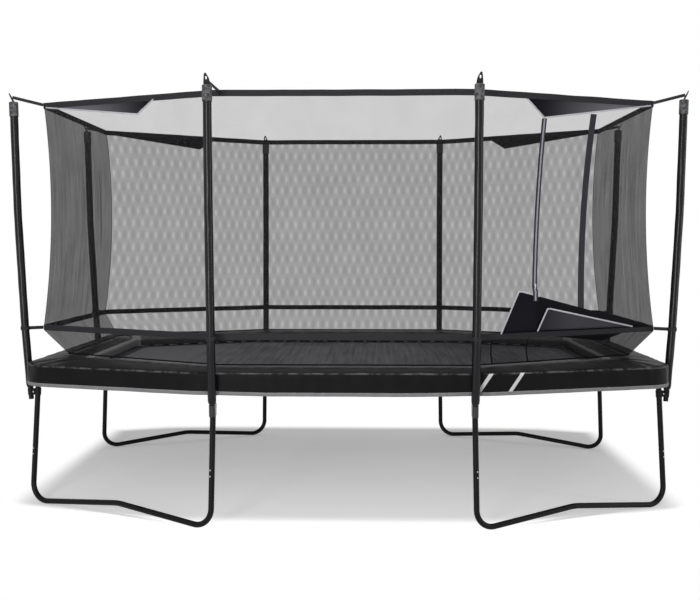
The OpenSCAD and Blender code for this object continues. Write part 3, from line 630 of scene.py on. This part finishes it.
def pad_point(run, v):
    out_by, z = along_loop(pad_loop, v) / 1000
    lift = hem_lift * hem_drop(run) * max(0.0, (0.93 - z) / 0.13) if out_by > 0.01 else 0.0
    off = folds(run, out_by, z)
    if out_by > 0.015 and z < 0.935:
        return rail_point(run, out_by + off, z + lift)
    up = off if z > 0.91 else 0.0
    return rail_point(run, out_by, z + lift + up)


mesh = bmesh.new()
shaped_grid(mesh, 640, 3 * len(pad_loop), lambda u, v: pad_point(u * rail_round, v), rail_round, 0.8)
pad = piece("pad_cover", mesh, pad_cloth)
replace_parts(pad, "pad_front", "pad_back", "pad_corner_front_left", "pad_corner_front_right",
            "pad_corner_back_left", "pad_corner_back_right")

hem_loop = [(25.6, 801), (25.6, 812), (25.6, 821), (26, 822.5), (29.5, 822.5), (30.5, 821), (30.8, 812),
            (30.5, 801.5), (29, 800), (26.5, 800)]


def hem_point(u, v):
    run = u * rail_round
    out_by, z = along_loop(hem_loop, v) / 1000
    return rail_point(run, out_by + folds(run, out_by, z), z + hem_lift * hem_drop(run))


mesh = bmesh.new()
shaped_grid(mesh, 660, 20, hem_point, rail_round, 0.06)
hem = piece("pad_hem_binding", mesh, hem_grey)
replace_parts(hem, "pad_hem")

inner_cloth = Finish("inner_cloth", (0.2, 0.2, 0.205), 0.6)
inner_at = inner_cloth.at()
inner_x = inner_cloth.axis(inner_at, "X")
inner_light = abs(inner_x).above(1.700) * abs(inner_cloth.axis(inner_at, "Y")).below(0.655)
inner_light = inner_light * (1 - inner_x.above(0) * inner_cloth.axis(inner_at, "Z").below(0.935))
inner_grey = inner_cloth.mix(inner_cloth.noise(inner_at, 25, 4.0), (0.105, 0.105, 0.11), (0.17, 0.17, 0.175))
inner_grey = inner_cloth.mix(inner_x.above(0) * 0.5, inner_grey, (0.03, 0.03, 0.031))
inner_cloth.set("Base Color", inner_cloth.mix(inner_light, (0.0085, 0.0085, 0.0095), inner_grey))
inner_cloth.bump(inner_cloth.noise(inner_at, 500), 0.0005)
trim_loop = [(-261.5, 938), (-275, 941), (-290, 941), (-300, 938), (-305, 931), (-306, 910), (-305, 884),
             (-300, 880.5), (-285, 881), (-261.5, 890)]


def trim_point(u, v):
    run = u * rail_round
    out_by, z = along_loop(trim_loop, v) / 1000
    up = folds(run, out_by, 0.95) if z > 0.91 else 0.0
    return rail_point(run, out_by, z + up)


mesh = bmesh.new()
shaped_grid(mesh, 520, 30, trim_point, rail_round, 0.2)
trim = piece("pad_inner_edge", mesh, inner_cloth)
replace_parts(trim, "pad_inner_trim")

# ---- Pole sleeves ----
# Foam tubes in black coated cloth, pulled over the eight net poles. The cloth
# is gathered at the lower end.
sleeve_cloth = Finish("sleeve_cloth", (0.004, 0.004, 0.0056), 0.28, Specular_IOR_Level=0.22)
sleeve_at = sleeve_cloth.at()
sleeve_creases = sleeve_cloth.noise(sleeve_at, 16, 4.0, stretch=(1, 1, 0.5))
sleeve_cloth.set("Roughness", sleeve_creases * 0.14 + 0.17)
sleeve_cloth.bump(sleeve_creases + sleeve_cloth.noise(sleeve_at, 700) * 0.2, 0.001)

leg_x = 0.775
leg_y = 1.325
side_leg_x = 2.030
side_leg_y = 0.765
pole_heights = (0.680, 1.150, 1.900, 2.650)
pole_reach = (0.054, 0.086, 0.118, 0.131)
rim_lift = 0.016


def pole_off(z):
    """How far a pole stands outside its leg's top at height z."""
    for i in range(3):
        if z <= pole_heights[i + 1] or i == 2:
            t = (z - pole_heights[i]) / (pole_heights[i + 1] - pole_heights[i])
            return pole_reach[i] + (pole_reach[i + 1] - pole_reach[i]) * t


poles = {}
for sx, side in ((-1, "left"), (1, "right")):
    for sy, end in ((-1, "front"), (1, "back")):
        poles[f"{end}_{side}"] = (Vector((sx * leg_x, sy * leg_y, 0)), Vector((0, sy, 0)))
        poles[f"{side}_{end}"] = (Vector((sx * side_leg_x, sy * side_leg_y, 0)), Vector((sx, 0, 0)))


def pole_at(name, z):
    foot, out = poles[name]
    spot = foot + pole_off(z) * out
    spot.z = z
    return spot


sleeve_r = 0.026
neck_r = 0.0185
neck_tall = 0.023
sleeve_low = 0.757
sleeve_high = 2.522


def sleeve_point(name, seed, u, v):
    high = sleeve_high if name.split("_")[0] in ends else sleeve_high + rim_lift
    z = sleeve_low + (high - sleeve_low) * v
    angle = 2 * pi * u
    start = min(1.0, (z - sleeve_low) / neck_tall)
    radius = neck_r + (sleeve_r - neck_r) * sqrt(start)
    if start < 1:
        radius += 0.0006 * sin(9 * angle)
    radius += noise.noise((cos(angle) * 1.2 + seed, sin(angle) * 1.2, z * 9)) * 0.0012 - 0.0007
    return pole_at(name, z) + radius * Vector((cos(angle), sin(angle), 0))


for seed, name in enumerate(poles):
    mesh = bmesh.new()
    shaped_grid(mesh, 28, 200, lambda u, v: sleeve_point(name, seed * 7.3, u, v), 0.16, 1.76)
    sleeve = piece(f"sleeve_{name}", mesh, sleeve_cloth)
    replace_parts(sleeve, "pole_sleeves")

# ---- Caps and loops ----
# A moulded grey cap closes each pole, and a stitched webbing tab with an eye
# stands up from it.
cap_plastic = Finish("cap_plastic", (0.08, 0.08, 0.085), 0.5, Specular_IOR_Level=0.3)
mottle = cap_plastic.noise(cap_plastic.at(), 55, 4.0).fade(0.40, 0.66)
cap_plastic.set("Base Color", cap_plastic.mix(mottle, (0.026, 0.026, 0.029), (0.105, 0.105, 0.11)))
cap_plastic.bump(mottle, 0.0005)
dress("pole_caps", cap_plastic)

tab_edge = [(-19, 0), (-17, 18), (-14, 34), (-9, 45), (-4, 53), (0, 60), (4, 66), (10, 66), (14, 60),
            (16, 48), (18, 32), (19.5, 16), (20, 0), (10, 0), (0, 0), (-10, 0)]
tab_eye = Vector((3, 38))
tab_thick = 0.003
cap_top = 2.607


def tab_piece(name):
    """One sewn tab: a flat ring of cloth between its edge and its eye, pressed thick."""
    foot, out = poles[name]
    long_side = name.split("_")[0] in ends
    sx, sy = (-1 if "left" in name else 1), (-1 if "front" in name else 1)
    mesh = bmesh.new()
    rings = []
    for eye in (False, True):
        ring = bmesh.ops.create_circle(mesh, segments=len(tab_edge), radius=1)["verts"]
        for vert, (x, z) in zip(ring, tab_edge):
            spot = Vector((x, z))
            if eye:
                way = (spot - tab_eye).normalized()
                spot = tab_eye + Vector((way.x * 5.5, way.y * 9.5))
            vert.co = (spot.x / 1000, -tab_thick / 2, spot.y / 1000)
        rings += edges_at(ring)
    flat = bmesh.ops.bridge_loops(mesh, edges=rings)["faces"]
    grown = bmesh.ops.extrude_face_region(mesh, geom=flat)["geom"]
    grown = [g for g in grown if isinstance(g, bmesh.types.BMVert)]
    bmesh.ops.translate(mesh, verts=grown, vec=(0, tab_thick, 0))
    lean = Matrix.Rotation(radians(-14 if long_side else -28), 4, "X")
    turn = Matrix.Identity(4) if long_side else Matrix.Rotation(radians(-90), 4, "Z")
    mesh.transform(turn @ lean)
    top = cap_top if long_side else cap_top + rim_lift
    mesh.transform(Matrix.Translation(Vector((foot.x * sx, foot.y * sy, top + 0.001))
                                      + pole_off(top) * Vector((abs(out.x), abs(out.y), 0))))
    mesh.transform(Matrix.Diagonal((sx, sy, 1, 1)))
    made = piece(f"pole_tab_{name}", mesh, webbing_black, sharp=35)
    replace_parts(made, "pole_loops")


for name in poles:
    tab_piece(name)

# ---- Net ----
# Eight panels of fine knitted black mesh, sewn together at the corners and
# drawn in a little at half height. Below the lower band a skirt of it runs in
# over the pad. Black thread binds its seams.
band_wide = 0.038
rim_z = 2.610
low_z = 1.168
net_hem = 0.958
net_waist = 0.048
net_top = rim_z - 0.004
skirt_top = low_z - band_wide


def net_shares(z):
    """The share of the way up from the lower band to the rim, the inward bow
    there, and the share of the way down the skirt."""
    t = max(0.0, (z - low_z) / (rim_z - low_z))
    return t, net_waist * 4 * t * (1 - t), max(0.0, (skirt_top - z) / (skirt_top - net_hem))


def long_corner(z):
    t, bow, skirt = net_shares(z)
    return Vector((leg_x, 1.300 - 0.035 * t - bow - 0.140 * skirt, z))


def side_corner(z):
    t, bow, skirt = net_shares(z)
    return Vector((2.012 - 0.027 * t - bow - 0.132 * skirt, 0.700 - 0.100 * skirt, z + rim_lift * t))


def signed(corner, sx, sy):
    return lambda z: Vector((corner(z).x * sx, corner(z).y * sy, corner(z).z))


hole_pitch = (0.006, 0.005)
twill_pitch = (0.078, 0.198)


def mesh_cloth(name, cover, streaks=0.0, lens=0.0, skirt=0.0):
    """See-through mesh: cover is the share of light that it stops. The rest say
    how strongly it is streaked, patterned, and darker in its skirt."""
    cloth = Finish(name, (0.006, 0.006, 0.007), 0.8, Specular_IOR_Level=0.2)
    at = cloth.at("UV")
    x = cloth.axis(at, "X")
    z = cloth.axis(at, "Y")

    def crossing(pitch):
        return (x * (2 * pi / pitch[0])).wave() * (z * (2 * pi / pitch[1])).wave()

    amount = crossing(hole_pitch) * (0.16 * (1 - cover)) + cover
    clouds = cloth.noise(at, 5, 3.0)
    amount = amount + (clouds - 0.5) * 0.10
    if streaks:
        fall = cloth.noise(at, 1.0, 4.0, stretch=(34, 1.6, 1))
        amount = amount + (fall - 0.5) * streaks
    if skirt:
        place = cloth.at()
        below = cloth.axis(place, "Z").fade(1.14, 1.12) * cloth.axis(place, "X").fade(0.2, 1.0)
        amount = amount + below * skirt
    if lens:
        twill = crossing(twill_pitch)
        amount = amount + twill.fade(-0.2, 0.9) * (lens * 0.6) - twill.fade(-0.35, -0.95) * lens
    cloth.set("Alpha", amount.most(0.05).least(0.97))
    return cloth


net_front_cloth = mesh_cloth("net_cloth", 0.40, skirt=0.24)
net_back_cloth = mesh_cloth("net_cloth_back", 0.445, lens=0.14)
net_side_cloth = mesh_cloth("net_cloth_side", 0.80, streaks=0.30)


net_cell = 0.03
net_off = 0.0007
rim_flat = 0.14


def net_patch(mesh, a, b, s0, s1, z0, z1, seed, fold, calm=()):
    """Adds the cloth between corner lines a and b, from share s0 to s1 of the
    width and from height z0 to z1. s0 and s1 are functions of height, and so are
    the lines in calm, which the cloth lies flat along."""
    out = (b(z0) - a(z0)).cross(Vector((0, 0, 1))).normalized()
    wide = (b(z0) - a(z0)).length * (s1(z0) - s0(z0))
    columns = max(2, ceil(wide / net_cell))
    rows = max(2, ceil((z1 - z0) / net_cell))

    def place(u, v):
        z = z0 + (z1 - z0) * v
        s = s0(z) + (s1(z) - s0(z)) * u
        spot = a(z).lerp(b(z), s)
        across = s * (b(z) - a(z)).length
        still = min(1.0, 8 * s * (1 - s))
        still *= min(1.0, abs(z - low_z) * 5, max(0.0, rim_z - rim_flat - z) * 5)
        for line in calm:
            still *= min(1.0, 15 * abs(s - line(z)))
        wave = noise.noise((across * 3 * (1 + fold), z * 1.4, seed)) * 0.010
        wave += noise.noise((across * 11 * (1 + fold), z * 1.2, seed + 4)) * 0.004 * (1 + 2 * fold)
        return spot + out * (wave * still + net_off)

    shaped_grid(mesh, columns, rows, place, wide, z1 - z0)


def edge_at(share):
    return lambda z: share


whole = (edge_at(0.0), edge_at(1.0))


def net_panel(name, node, a, b, cloth, seed, fold=0.0):
    mesh = bmesh.new()
    net_patch(mesh, a, b, *whole, skirt_top, net_top, seed, fold)
    net_patch(mesh, a, b, *whole, net_hem, skirt_top, seed, fold)
    area = sum(face.calc_area() for face in mesh.faces)
    made = piece(name, mesh, cloth)
    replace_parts(made, node)
    skirt = (a(net_hem) - a(skirt_top)).length
    width = (b(low_z) - a(low_z)).length


long_lines = {(sx, sy): signed(long_corner, sx, sy) for sx in (-1, 1) for sy in (-1, 1)}
side_lines = {(sx, sy): signed(side_corner, sx, sy) for sx in (-1, 1) for sy in (-1, 1)}
net_ring = []
for sx, sy in ((1, -1), (1, 1), (-1, 1), (-1, -1)):
    pair = [long_lines[sx, sy], side_lines[sx, sy]]
    net_ring += pair if sx * sy < 0 else pair[::-1]
for seed, (place, a, b, cloth) in enumerate((
        ("front", long_lines[-1, -1], long_lines[1, -1], net_front_cloth),
        ("back", long_lines[1, 1], long_lines[-1, 1], net_back_cloth),
        ("left", side_lines[-1, 1], side_lines[-1, -1], net_side_cloth),
        ("right", side_lines[1, -1], side_lines[1, 1], net_side_cloth),
        ("front_left", side_lines[-1, -1], long_lines[-1, -1], net_front_cloth),
        ("back_left", long_lines[-1, 1], side_lines[-1, 1], net_back_cloth),
        ("back_right", side_lines[1, 1], long_lines[1, 1], net_back_cloth)), start=1):
    net_panel(f"net_cloth_{place}", f"net_{place}", a, b, cloth, float(seed), float(place in sides))

net_thread = Finish("net_thread", (0.006, 0.006, 0.007), 0.7, Specular_IOR_Level=0.1)
net_thread.bump(net_thread.noise(net_thread.at(), 600), 0.0004)


def ribbon(mesh, points, out, wide, thick):
    """A flat ribbon along points: wide across, thick along out."""
    count = len(points) - 1

    def place(u, v):
        i = min(int(u * count + 0.0001), count - 1)
        spot = points[i].lerp(points[i + 1], u * count - i)
        across = (points[i + 1] - points[i]).cross(out).normalized()
        turn = 2 * pi * v
        return spot + across * (wide / 2 * cos(turn)) + out * (thick * (0.5 + 0.5 * sin(turn)))

    shaped_grid(mesh, count, 8, place, 1, 1)


mesh = bmesh.new()
levels = even(net_hem, net_top, 40)
for (sx, sy), line in side_lines.items():
    ribbon(mesh, [line(z) for z in levels], Vector((0.9 * sx, 0.43 * sy, 0)), 0.006, 0.002)
hem_spots = [line(net_hem + 0.006) for line in net_ring]
for a, b in zip(hem_spots, hem_spots[1:] + hem_spots[:1]):
    out = (b - a).cross(Vector((0, 0, 1))).normalized()
    ribbon(mesh, [a.lerp(b, i / 30) for i in range(31)], out, 0.009, 0.003)
gate_a = long_lines[1, -1]
gate_b = side_lines[1, -1]
slit_out = (gate_b(1.0) - gate_a(1.0)).cross(Vector((0, 0, 1))).normalized()
slit_tall = 0.165
for top, foot in ((0.090, 0.120), (0.283, 0.338)):
    slit = []
    for t in even(0, 1, 20):
        z = skirt_top - slit_tall * t
        slit.append(gate_a(z).lerp(gate_b(z), top + (foot - top) * t * t))
    ribbon(mesh, slit, slit_out, 0.011, 0.002)
seams = piece("net_seams", mesh, net_thread)

# ---- Entrance ----
# The front right corner panel holds the doorway: a zip on its left, a wide
# tape on its right, and a mesh door between them that swings on the tape.
door_low = 1.430
door_high = 2.462
door_foot = door_low - 0.003
door_head = door_high + 0.003


def slanted(at_low, at_high, by=0.0):
    """A line up the panel, from share at_low at the door's foot to at_high at its head."""
    return lambda z: at_low + (at_high - at_low) * (z - door_low) / (door_high - door_low) + by


zip_line = (0.343, 0.3915)
side_line = (0.557, 0.618)
calm_lines = [slanted(*zip_line, -0.012), slanted(*side_line, 0.020)]
gate_seed = 8.0
mesh = bmesh.new()
for s0, s1, z0, z1 in (
        (*whole, net_hem, skirt_top),
        (*whole, skirt_top, door_foot),
        (*whole, door_head, net_top),
        (edge_at(0.0), slanted(*zip_line, -0.0042), door_foot, door_head),
        (slanted(*side_line, 0.010), edge_at(1.0), door_foot, door_head)):
    net_patch(mesh, gate_a, gate_b, s0, s1, z0, z1, gate_seed, 0.0, calm_lines)
gate_area = sum(face.calc_area() for face in mesh.faces)
gate = piece("net_cloth_front_right", mesh, net_front_cloth)
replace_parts(gate, "net_front_right")
gate_wide = (gate_b(low_z) - gate_a(low_z)).length

mesh = bmesh.new()
net_patch(mesh, gate_a, gate_b, slanted(*zip_line, -0.004), slanted(*side_line, 0.0098), door_foot,
          door_head, gate_seed, 0.0, calm_lines)
door = piece("door_cloth", mesh, net_front_cloth, "door")
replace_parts(door, "entrance_door")

gate_out = (gate_b(2.0) - gate_a(2.0)).cross(Vector((0, 0, 1))).normalized()
tape_loop = [(0, 0), (0, 1), (0.5, 1.15), (1, 1), (1, 0)]
slope = 0.018


def tape(name, line, wide, low, high, off, finish, raised=0.0, thick=0.0012):
    """A flat tape up the corner panel: its left edge on line, wide as a share.
    At its foot it is raised, where it lies over another panel."""
    mesh = bmesh.new()

    def place(u, v):
        p = along_loop(tape_loop, v)
        z = low + (high - low) * u
        s = line(z) + wide * p.x
        over = limited((door_low - z) / slope) * raised
        return gate_a(z).lerp(gate_b(z), s) + gate_out * (off + over + thick * p.y)

    shaped_grid(mesh, 60, 20, place, high - low, 0.05)
    made = piece(name, mesh, finish)
    return made


tape_navy = Finish("tape_navy", (0.009, 0.009, 0.014), 0.6, Specular_IOR_Level=0.25)
tape_navy.bump(tape_navy.noise(tape_navy.at(), 400), 0.0004)
zip_grey = Finish("zip_grey", (0.25, 0.25, 0.27), 0.45)
zip_up = zip_grey.axis(zip_grey.at("UV"), "X")
zip_teeth = (zip_up * (2 * pi / 0.006)).wave() * 0.5 + 0.5
zip_grey.set("Base Color", zip_grey.mix(zip_teeth, (0.16, 0.16, 0.19), (0.36, 0.36, 0.41)))
zip_grey.bump(zip_teeth, 0.0012)
for name, line, wide, low, high, raised in (
        ("door_zip_tape", slanted(*zip_line, -0.033), 0.027, 1.352, 2.462, 0.012),
        ("door_side_tape", slanted(*side_line, 0.013), 0.035, 1.290, 2.505, 0)):
    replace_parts(tape(name, line, wide, low, high, 0.0022, tape_navy, raised), "door_tapes")
tape("door_zip_teeth", slanted(*zip_line, -0.0235), 0.008, 1.353, 2.461, 0.0030, zip_grey, 0.012, 0.0013)
dress("zip_slider", galvanised)

# ---- Bands and straps ----
# Black webbing bands run round the net at its rim and above its skirt, and
# webbing straps tie their corners to the poles.
band_off = 0.0012
band_loop = [(0, 0), (0.0024, 0.001), (0.0028, 0.5), (0.0024, 0.999), (0, 1)]


def band_piece(name, node, z_top):
    corners = [line(z_top) for line in net_ring]
    mesh = bmesh.new()
    for i, start in enumerate(corners):
        end = corners[(i + 1) % 8]
        out = (end - start).cross(Vector((0, 0, 1))).normalized()
        length = (end - start).length

        def place(u, v):
            p = along_loop(band_loop, v)
            ripple = noise.noise((u * length * 6, i * 3.7, z_top)) * 0.0015 * min(1, 20 * u * (1 - u))
            spot = start.lerp(end, u) + out * (band_off + p.x + ripple)
            spot.z += ripple - band_wide * (1 - p.y)
            return spot

        shaped_grid(mesh, ceil(length / net_cell), 20, place, length, 2 * band_wide)
    made = piece(name, mesh, webbing_black)
    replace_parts(made, node)


band_piece("net_top_band", "top_band", rim_z)
band_piece("net_lower_band", "lower_band", low_z)


def round_edges(mesh, edges, offset):
    bmesh.ops.bevel(mesh, geom=edges, offset=offset, segments=2, affect="EDGES", profile=0.5, material=-1)


def strap(mesh, start, end, wide, thick):
    """A flat strap between two points, with its width upright."""
    run = end - start
    side = run.cross(Vector((0, 0, 1))).normalized()
    up = side.cross(run).normalized()
    turn = Matrix((run.normalized(), side, up)).transposed().to_4x4()
    place = Matrix.Translation((start + end) / 2) @ turn @ Matrix.Diagonal((run.length, thick, wide, 1))
    made = bmesh.ops.create_cube(mesh, size=1, matrix=place)["verts"]
    round_edges(mesh, edges_at(made), thick * 0.3)


def strap_ring(mesh, name, z, wide):
    """A loop of webbing round a padded pole."""
    inner, outer = sleeve_r + 0.0004, sleeve_r + 0.003
    corners = [mesh.verts.new(pole_at(name, z) + Vector((r, 0, h)))
               for r, h in ((inner, -wide / 2), (outer, -wide / 2), (outer, wide / 2), (inner, wide / 2))]
    edges = [mesh.edges.new((corners[i], corners[(i + 1) % 4])) for i in range(4)]
    bmesh.ops.spin(mesh, geom=corners + edges, cent=pole_at(name, z), axis=(0, 0, 1), angle=2 * pi,
                   steps=32, use_merge=True)


mesh = bmesh.new()
tie_z = 1.150
strap_z = 2.596
for name in poles:
    long_side = name.split("_")[0] in ends
    sx, sy = (-1 if "left" in name else 1), (-1 if "front" in name else 1)
    corner = (long_lines if long_side else side_lines)[sx, sy]
    high = pole_at(name, 2.621 if long_side else 2.651)
    inward = Vector((0.045, 0, 0)) if name == "front_left" else Vector()
    short_of = 0.0032 if long_side else -0.0059
    for start, end, wide, stop in ((corner(strap_z) + inward, high + inward * 0.25, 0.020, short_of),
                                   (corner(tie_z), pole_at(name, tie_z), 0.022, sleeve_r + 0.002)):
        away = (end - start).normalized()
        strap(mesh, start + away * 0.005, end - away * stop, wide, 0.002)
    strap_ring(mesh, name, tie_z, 0.024)
straps = piece("net_straps", mesh, webbing_black, sharp=35)
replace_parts(straps, "pole_straps")

# ---- Corner and entrance panels ----
# A cloth triangle is sewn under the rim on each corner face: navy with a light
# grey bound edge in front, black at the back. Two overlapping panels and a small
# black flap are sewn to the lower band at the foot of the doorway.
panel_navy = Finish("panel_navy", (0.004, 0.004, 0.006), 0.5, Specular_IOR_Level=0.04)
navy_at = panel_navy.at()
navy_x = abs(panel_navy.axis(navy_at, "X"))
navy_z = panel_navy.axis(navy_at, "Z")
# Near their thin outer ends the front corner panels turn lighter.
lighter_outer_end = navy_x.fade(1.15, 1.75) * navy_z.above(2.0)
# Outward of a fold, the large entrance panel is painted darker, as shade.
fold_shade = navy_x.fade(1.160, 1.185) * navy_z.below(1.5)
navy = panel_navy.mix(panel_navy.noise(navy_at, 8, 4.0), (0.003, 0.003, 0.005), (0.006, 0.006, 0.010))
navy = panel_navy.mix(lighter_outer_end * 0.85, navy, (0.15, 0.15, 0.16))
panel_navy.set("Base Color", panel_navy.mix(fold_shade * 0.8, navy, (0.002, 0.002, 0.003)))
panel_navy.bump(panel_navy.noise(navy_at, 350), 0.0004)
panel_grey = Finish("panel_grey", (0.02, 0.02, 0.027), 0.5, Specular_IOR_Level=0.08)
grey_at = panel_grey.at()
worn = panel_grey.axis(grey_at, "X").fade(1.15, 1.45)
panel_grey.set("Base Color", panel_grey.mix(worn, (0.008, 0.008, 0.012), (0.034, 0.034, 0.040)))
panel_grey.bump(panel_grey.noise(grey_at, 350), 0.0004)
panel_black = Finish("panel_black", (0.004, 0.004, 0.005), 0.6, Specular_IOR_Level=0.12)
panel_black.bump(panel_black.noise(panel_black.at(), 350), 0.0004)
edging_light = Finish("edging_light", (0.5, 0.5, 0.53), 0.6)
edging_at = edging_light.at()
edging_clouds = edging_light.noise(edging_at, 25, 4.0)
edging_light.set("Base Color", edging_light.mix(edging_clouds, (0.30, 0.30, 0.33), (0.48, 0.48, 0.51)))
edging_light.bump(edging_light.noise(edging_at, 500), 0.0004)


def face_out(sx, sy):
    return Vector((0.42 * sx, 0.9075 * sy, 0))


def face_spot(sx, sy, s, z, off):
    return long_lines[sx, sy](z).lerp(side_lines[sx, sy](z), s) + face_out(sx, sy) * off


panel_thick = 0.0012
edging_wide = 0.0095
edging_thick = 0.0024


def flat_panel(name, node, sx, sy, outline, off, finish, bound=()):
    """A cloth panel with its corners at (share, height) on a corner face. bound
    says which sides are edged: the corner each starts at and the share of it."""
    mesh = bmesh.new()
    corners = [Vector(p) for p in outline]

    def place(u, v):
        if len(corners) == 3:
            low, high = corners[0], corners[1].lerp(corners[2], u)
        else:
            low, high = corners[0].lerp(corners[3], u), corners[1].lerp(corners[2], u)
        s, z = low.lerp(high, v)
        return face_spot(sx, sy, s, z, off)

    verts = shaped_grid(mesh, 40, 12, place)
    area = sum(face.calc_area() for face in mesh.faces)
    made = piece(name, mesh, finish)
    thick = made.modifiers.new("thickness", "SOLIDIFY")
    thick.thickness = panel_thick
    points = [face_spot(sx, sy, *p, off) for p in outline]
    width = max((p - q).length for p in points for q in points)
    if bound:
        mesh = bmesh.new()
        out = face_out(sx, sy)
        for i, share in bound:
            p = points[i]
            q = p.lerp(points[(i + 1) % len(points)], share)
            run = (q - p).normalized()
            turn = Matrix((run, out, run.cross(out))).transposed().to_4x4()
            size = Matrix.Diagonal(((q - p).length + 0.008, edging_thick, edging_wide, 1))
            at = Matrix.Translation((p + q) / 2 + out * 0.0022)
            bmesh.ops.create_cube(mesh, size=1, matrix=at @ turn @ size)
        round_edges(mesh, mesh.edges[:], 0.0007)
        binding = piece(name + "_edging", mesh, edging_light, sharp=35)
        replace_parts(binding, node)
    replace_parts(made, node)


panel_top = rim_z - band_wide + 0.006
for sx in (-1, 1):
    for sy in (-1, 1):
        name = f"corner_panel_{ends[(sy + 1) // 2]}_{sides[(sx + 1) // 2]}"
        top, tip, low = (0.265, 0.37, 2.466) if (sx, sy) == (1, -1) else (0.33, 0.425, 2.498)
        finish, bound = (panel_navy, ((0, 1), (2, 1))) if sy < 0 else (panel_black, ())
        flat_panel(name, "corner_panels", sx, sy, [(tip, low), (top, panel_top), (0.985, panel_top)],
                   0.0035, finish, bound)
large_foot = low_z - 0.003
small_foot = low_z + 0.004
for name, outline, off, finish, bound in (
        ("entrance_panel_large", [(0.131, large_foot), (0.231, 1.411), (0.25, 1.411), (0.985, large_foot)],
         0.0120, panel_navy, ((0, 1), (1, 1), (2, 0.12))),
        ("entrance_panel_small", [(0.322, small_foot), (0.382, 1.302), (0.40, 1.302), (0.86, small_foot)],
         0.0180, panel_grey, ((0, 1), (1, 1), (2, 1))),
        ("entrance_flap", [(0.722, 1.082), (0.42, skirt_top), (0.812, skirt_top)],
         0.0045, panel_black, ())):
    flat_panel(name, "entrance_panels", 1, -1, outline, off, finish, bound)
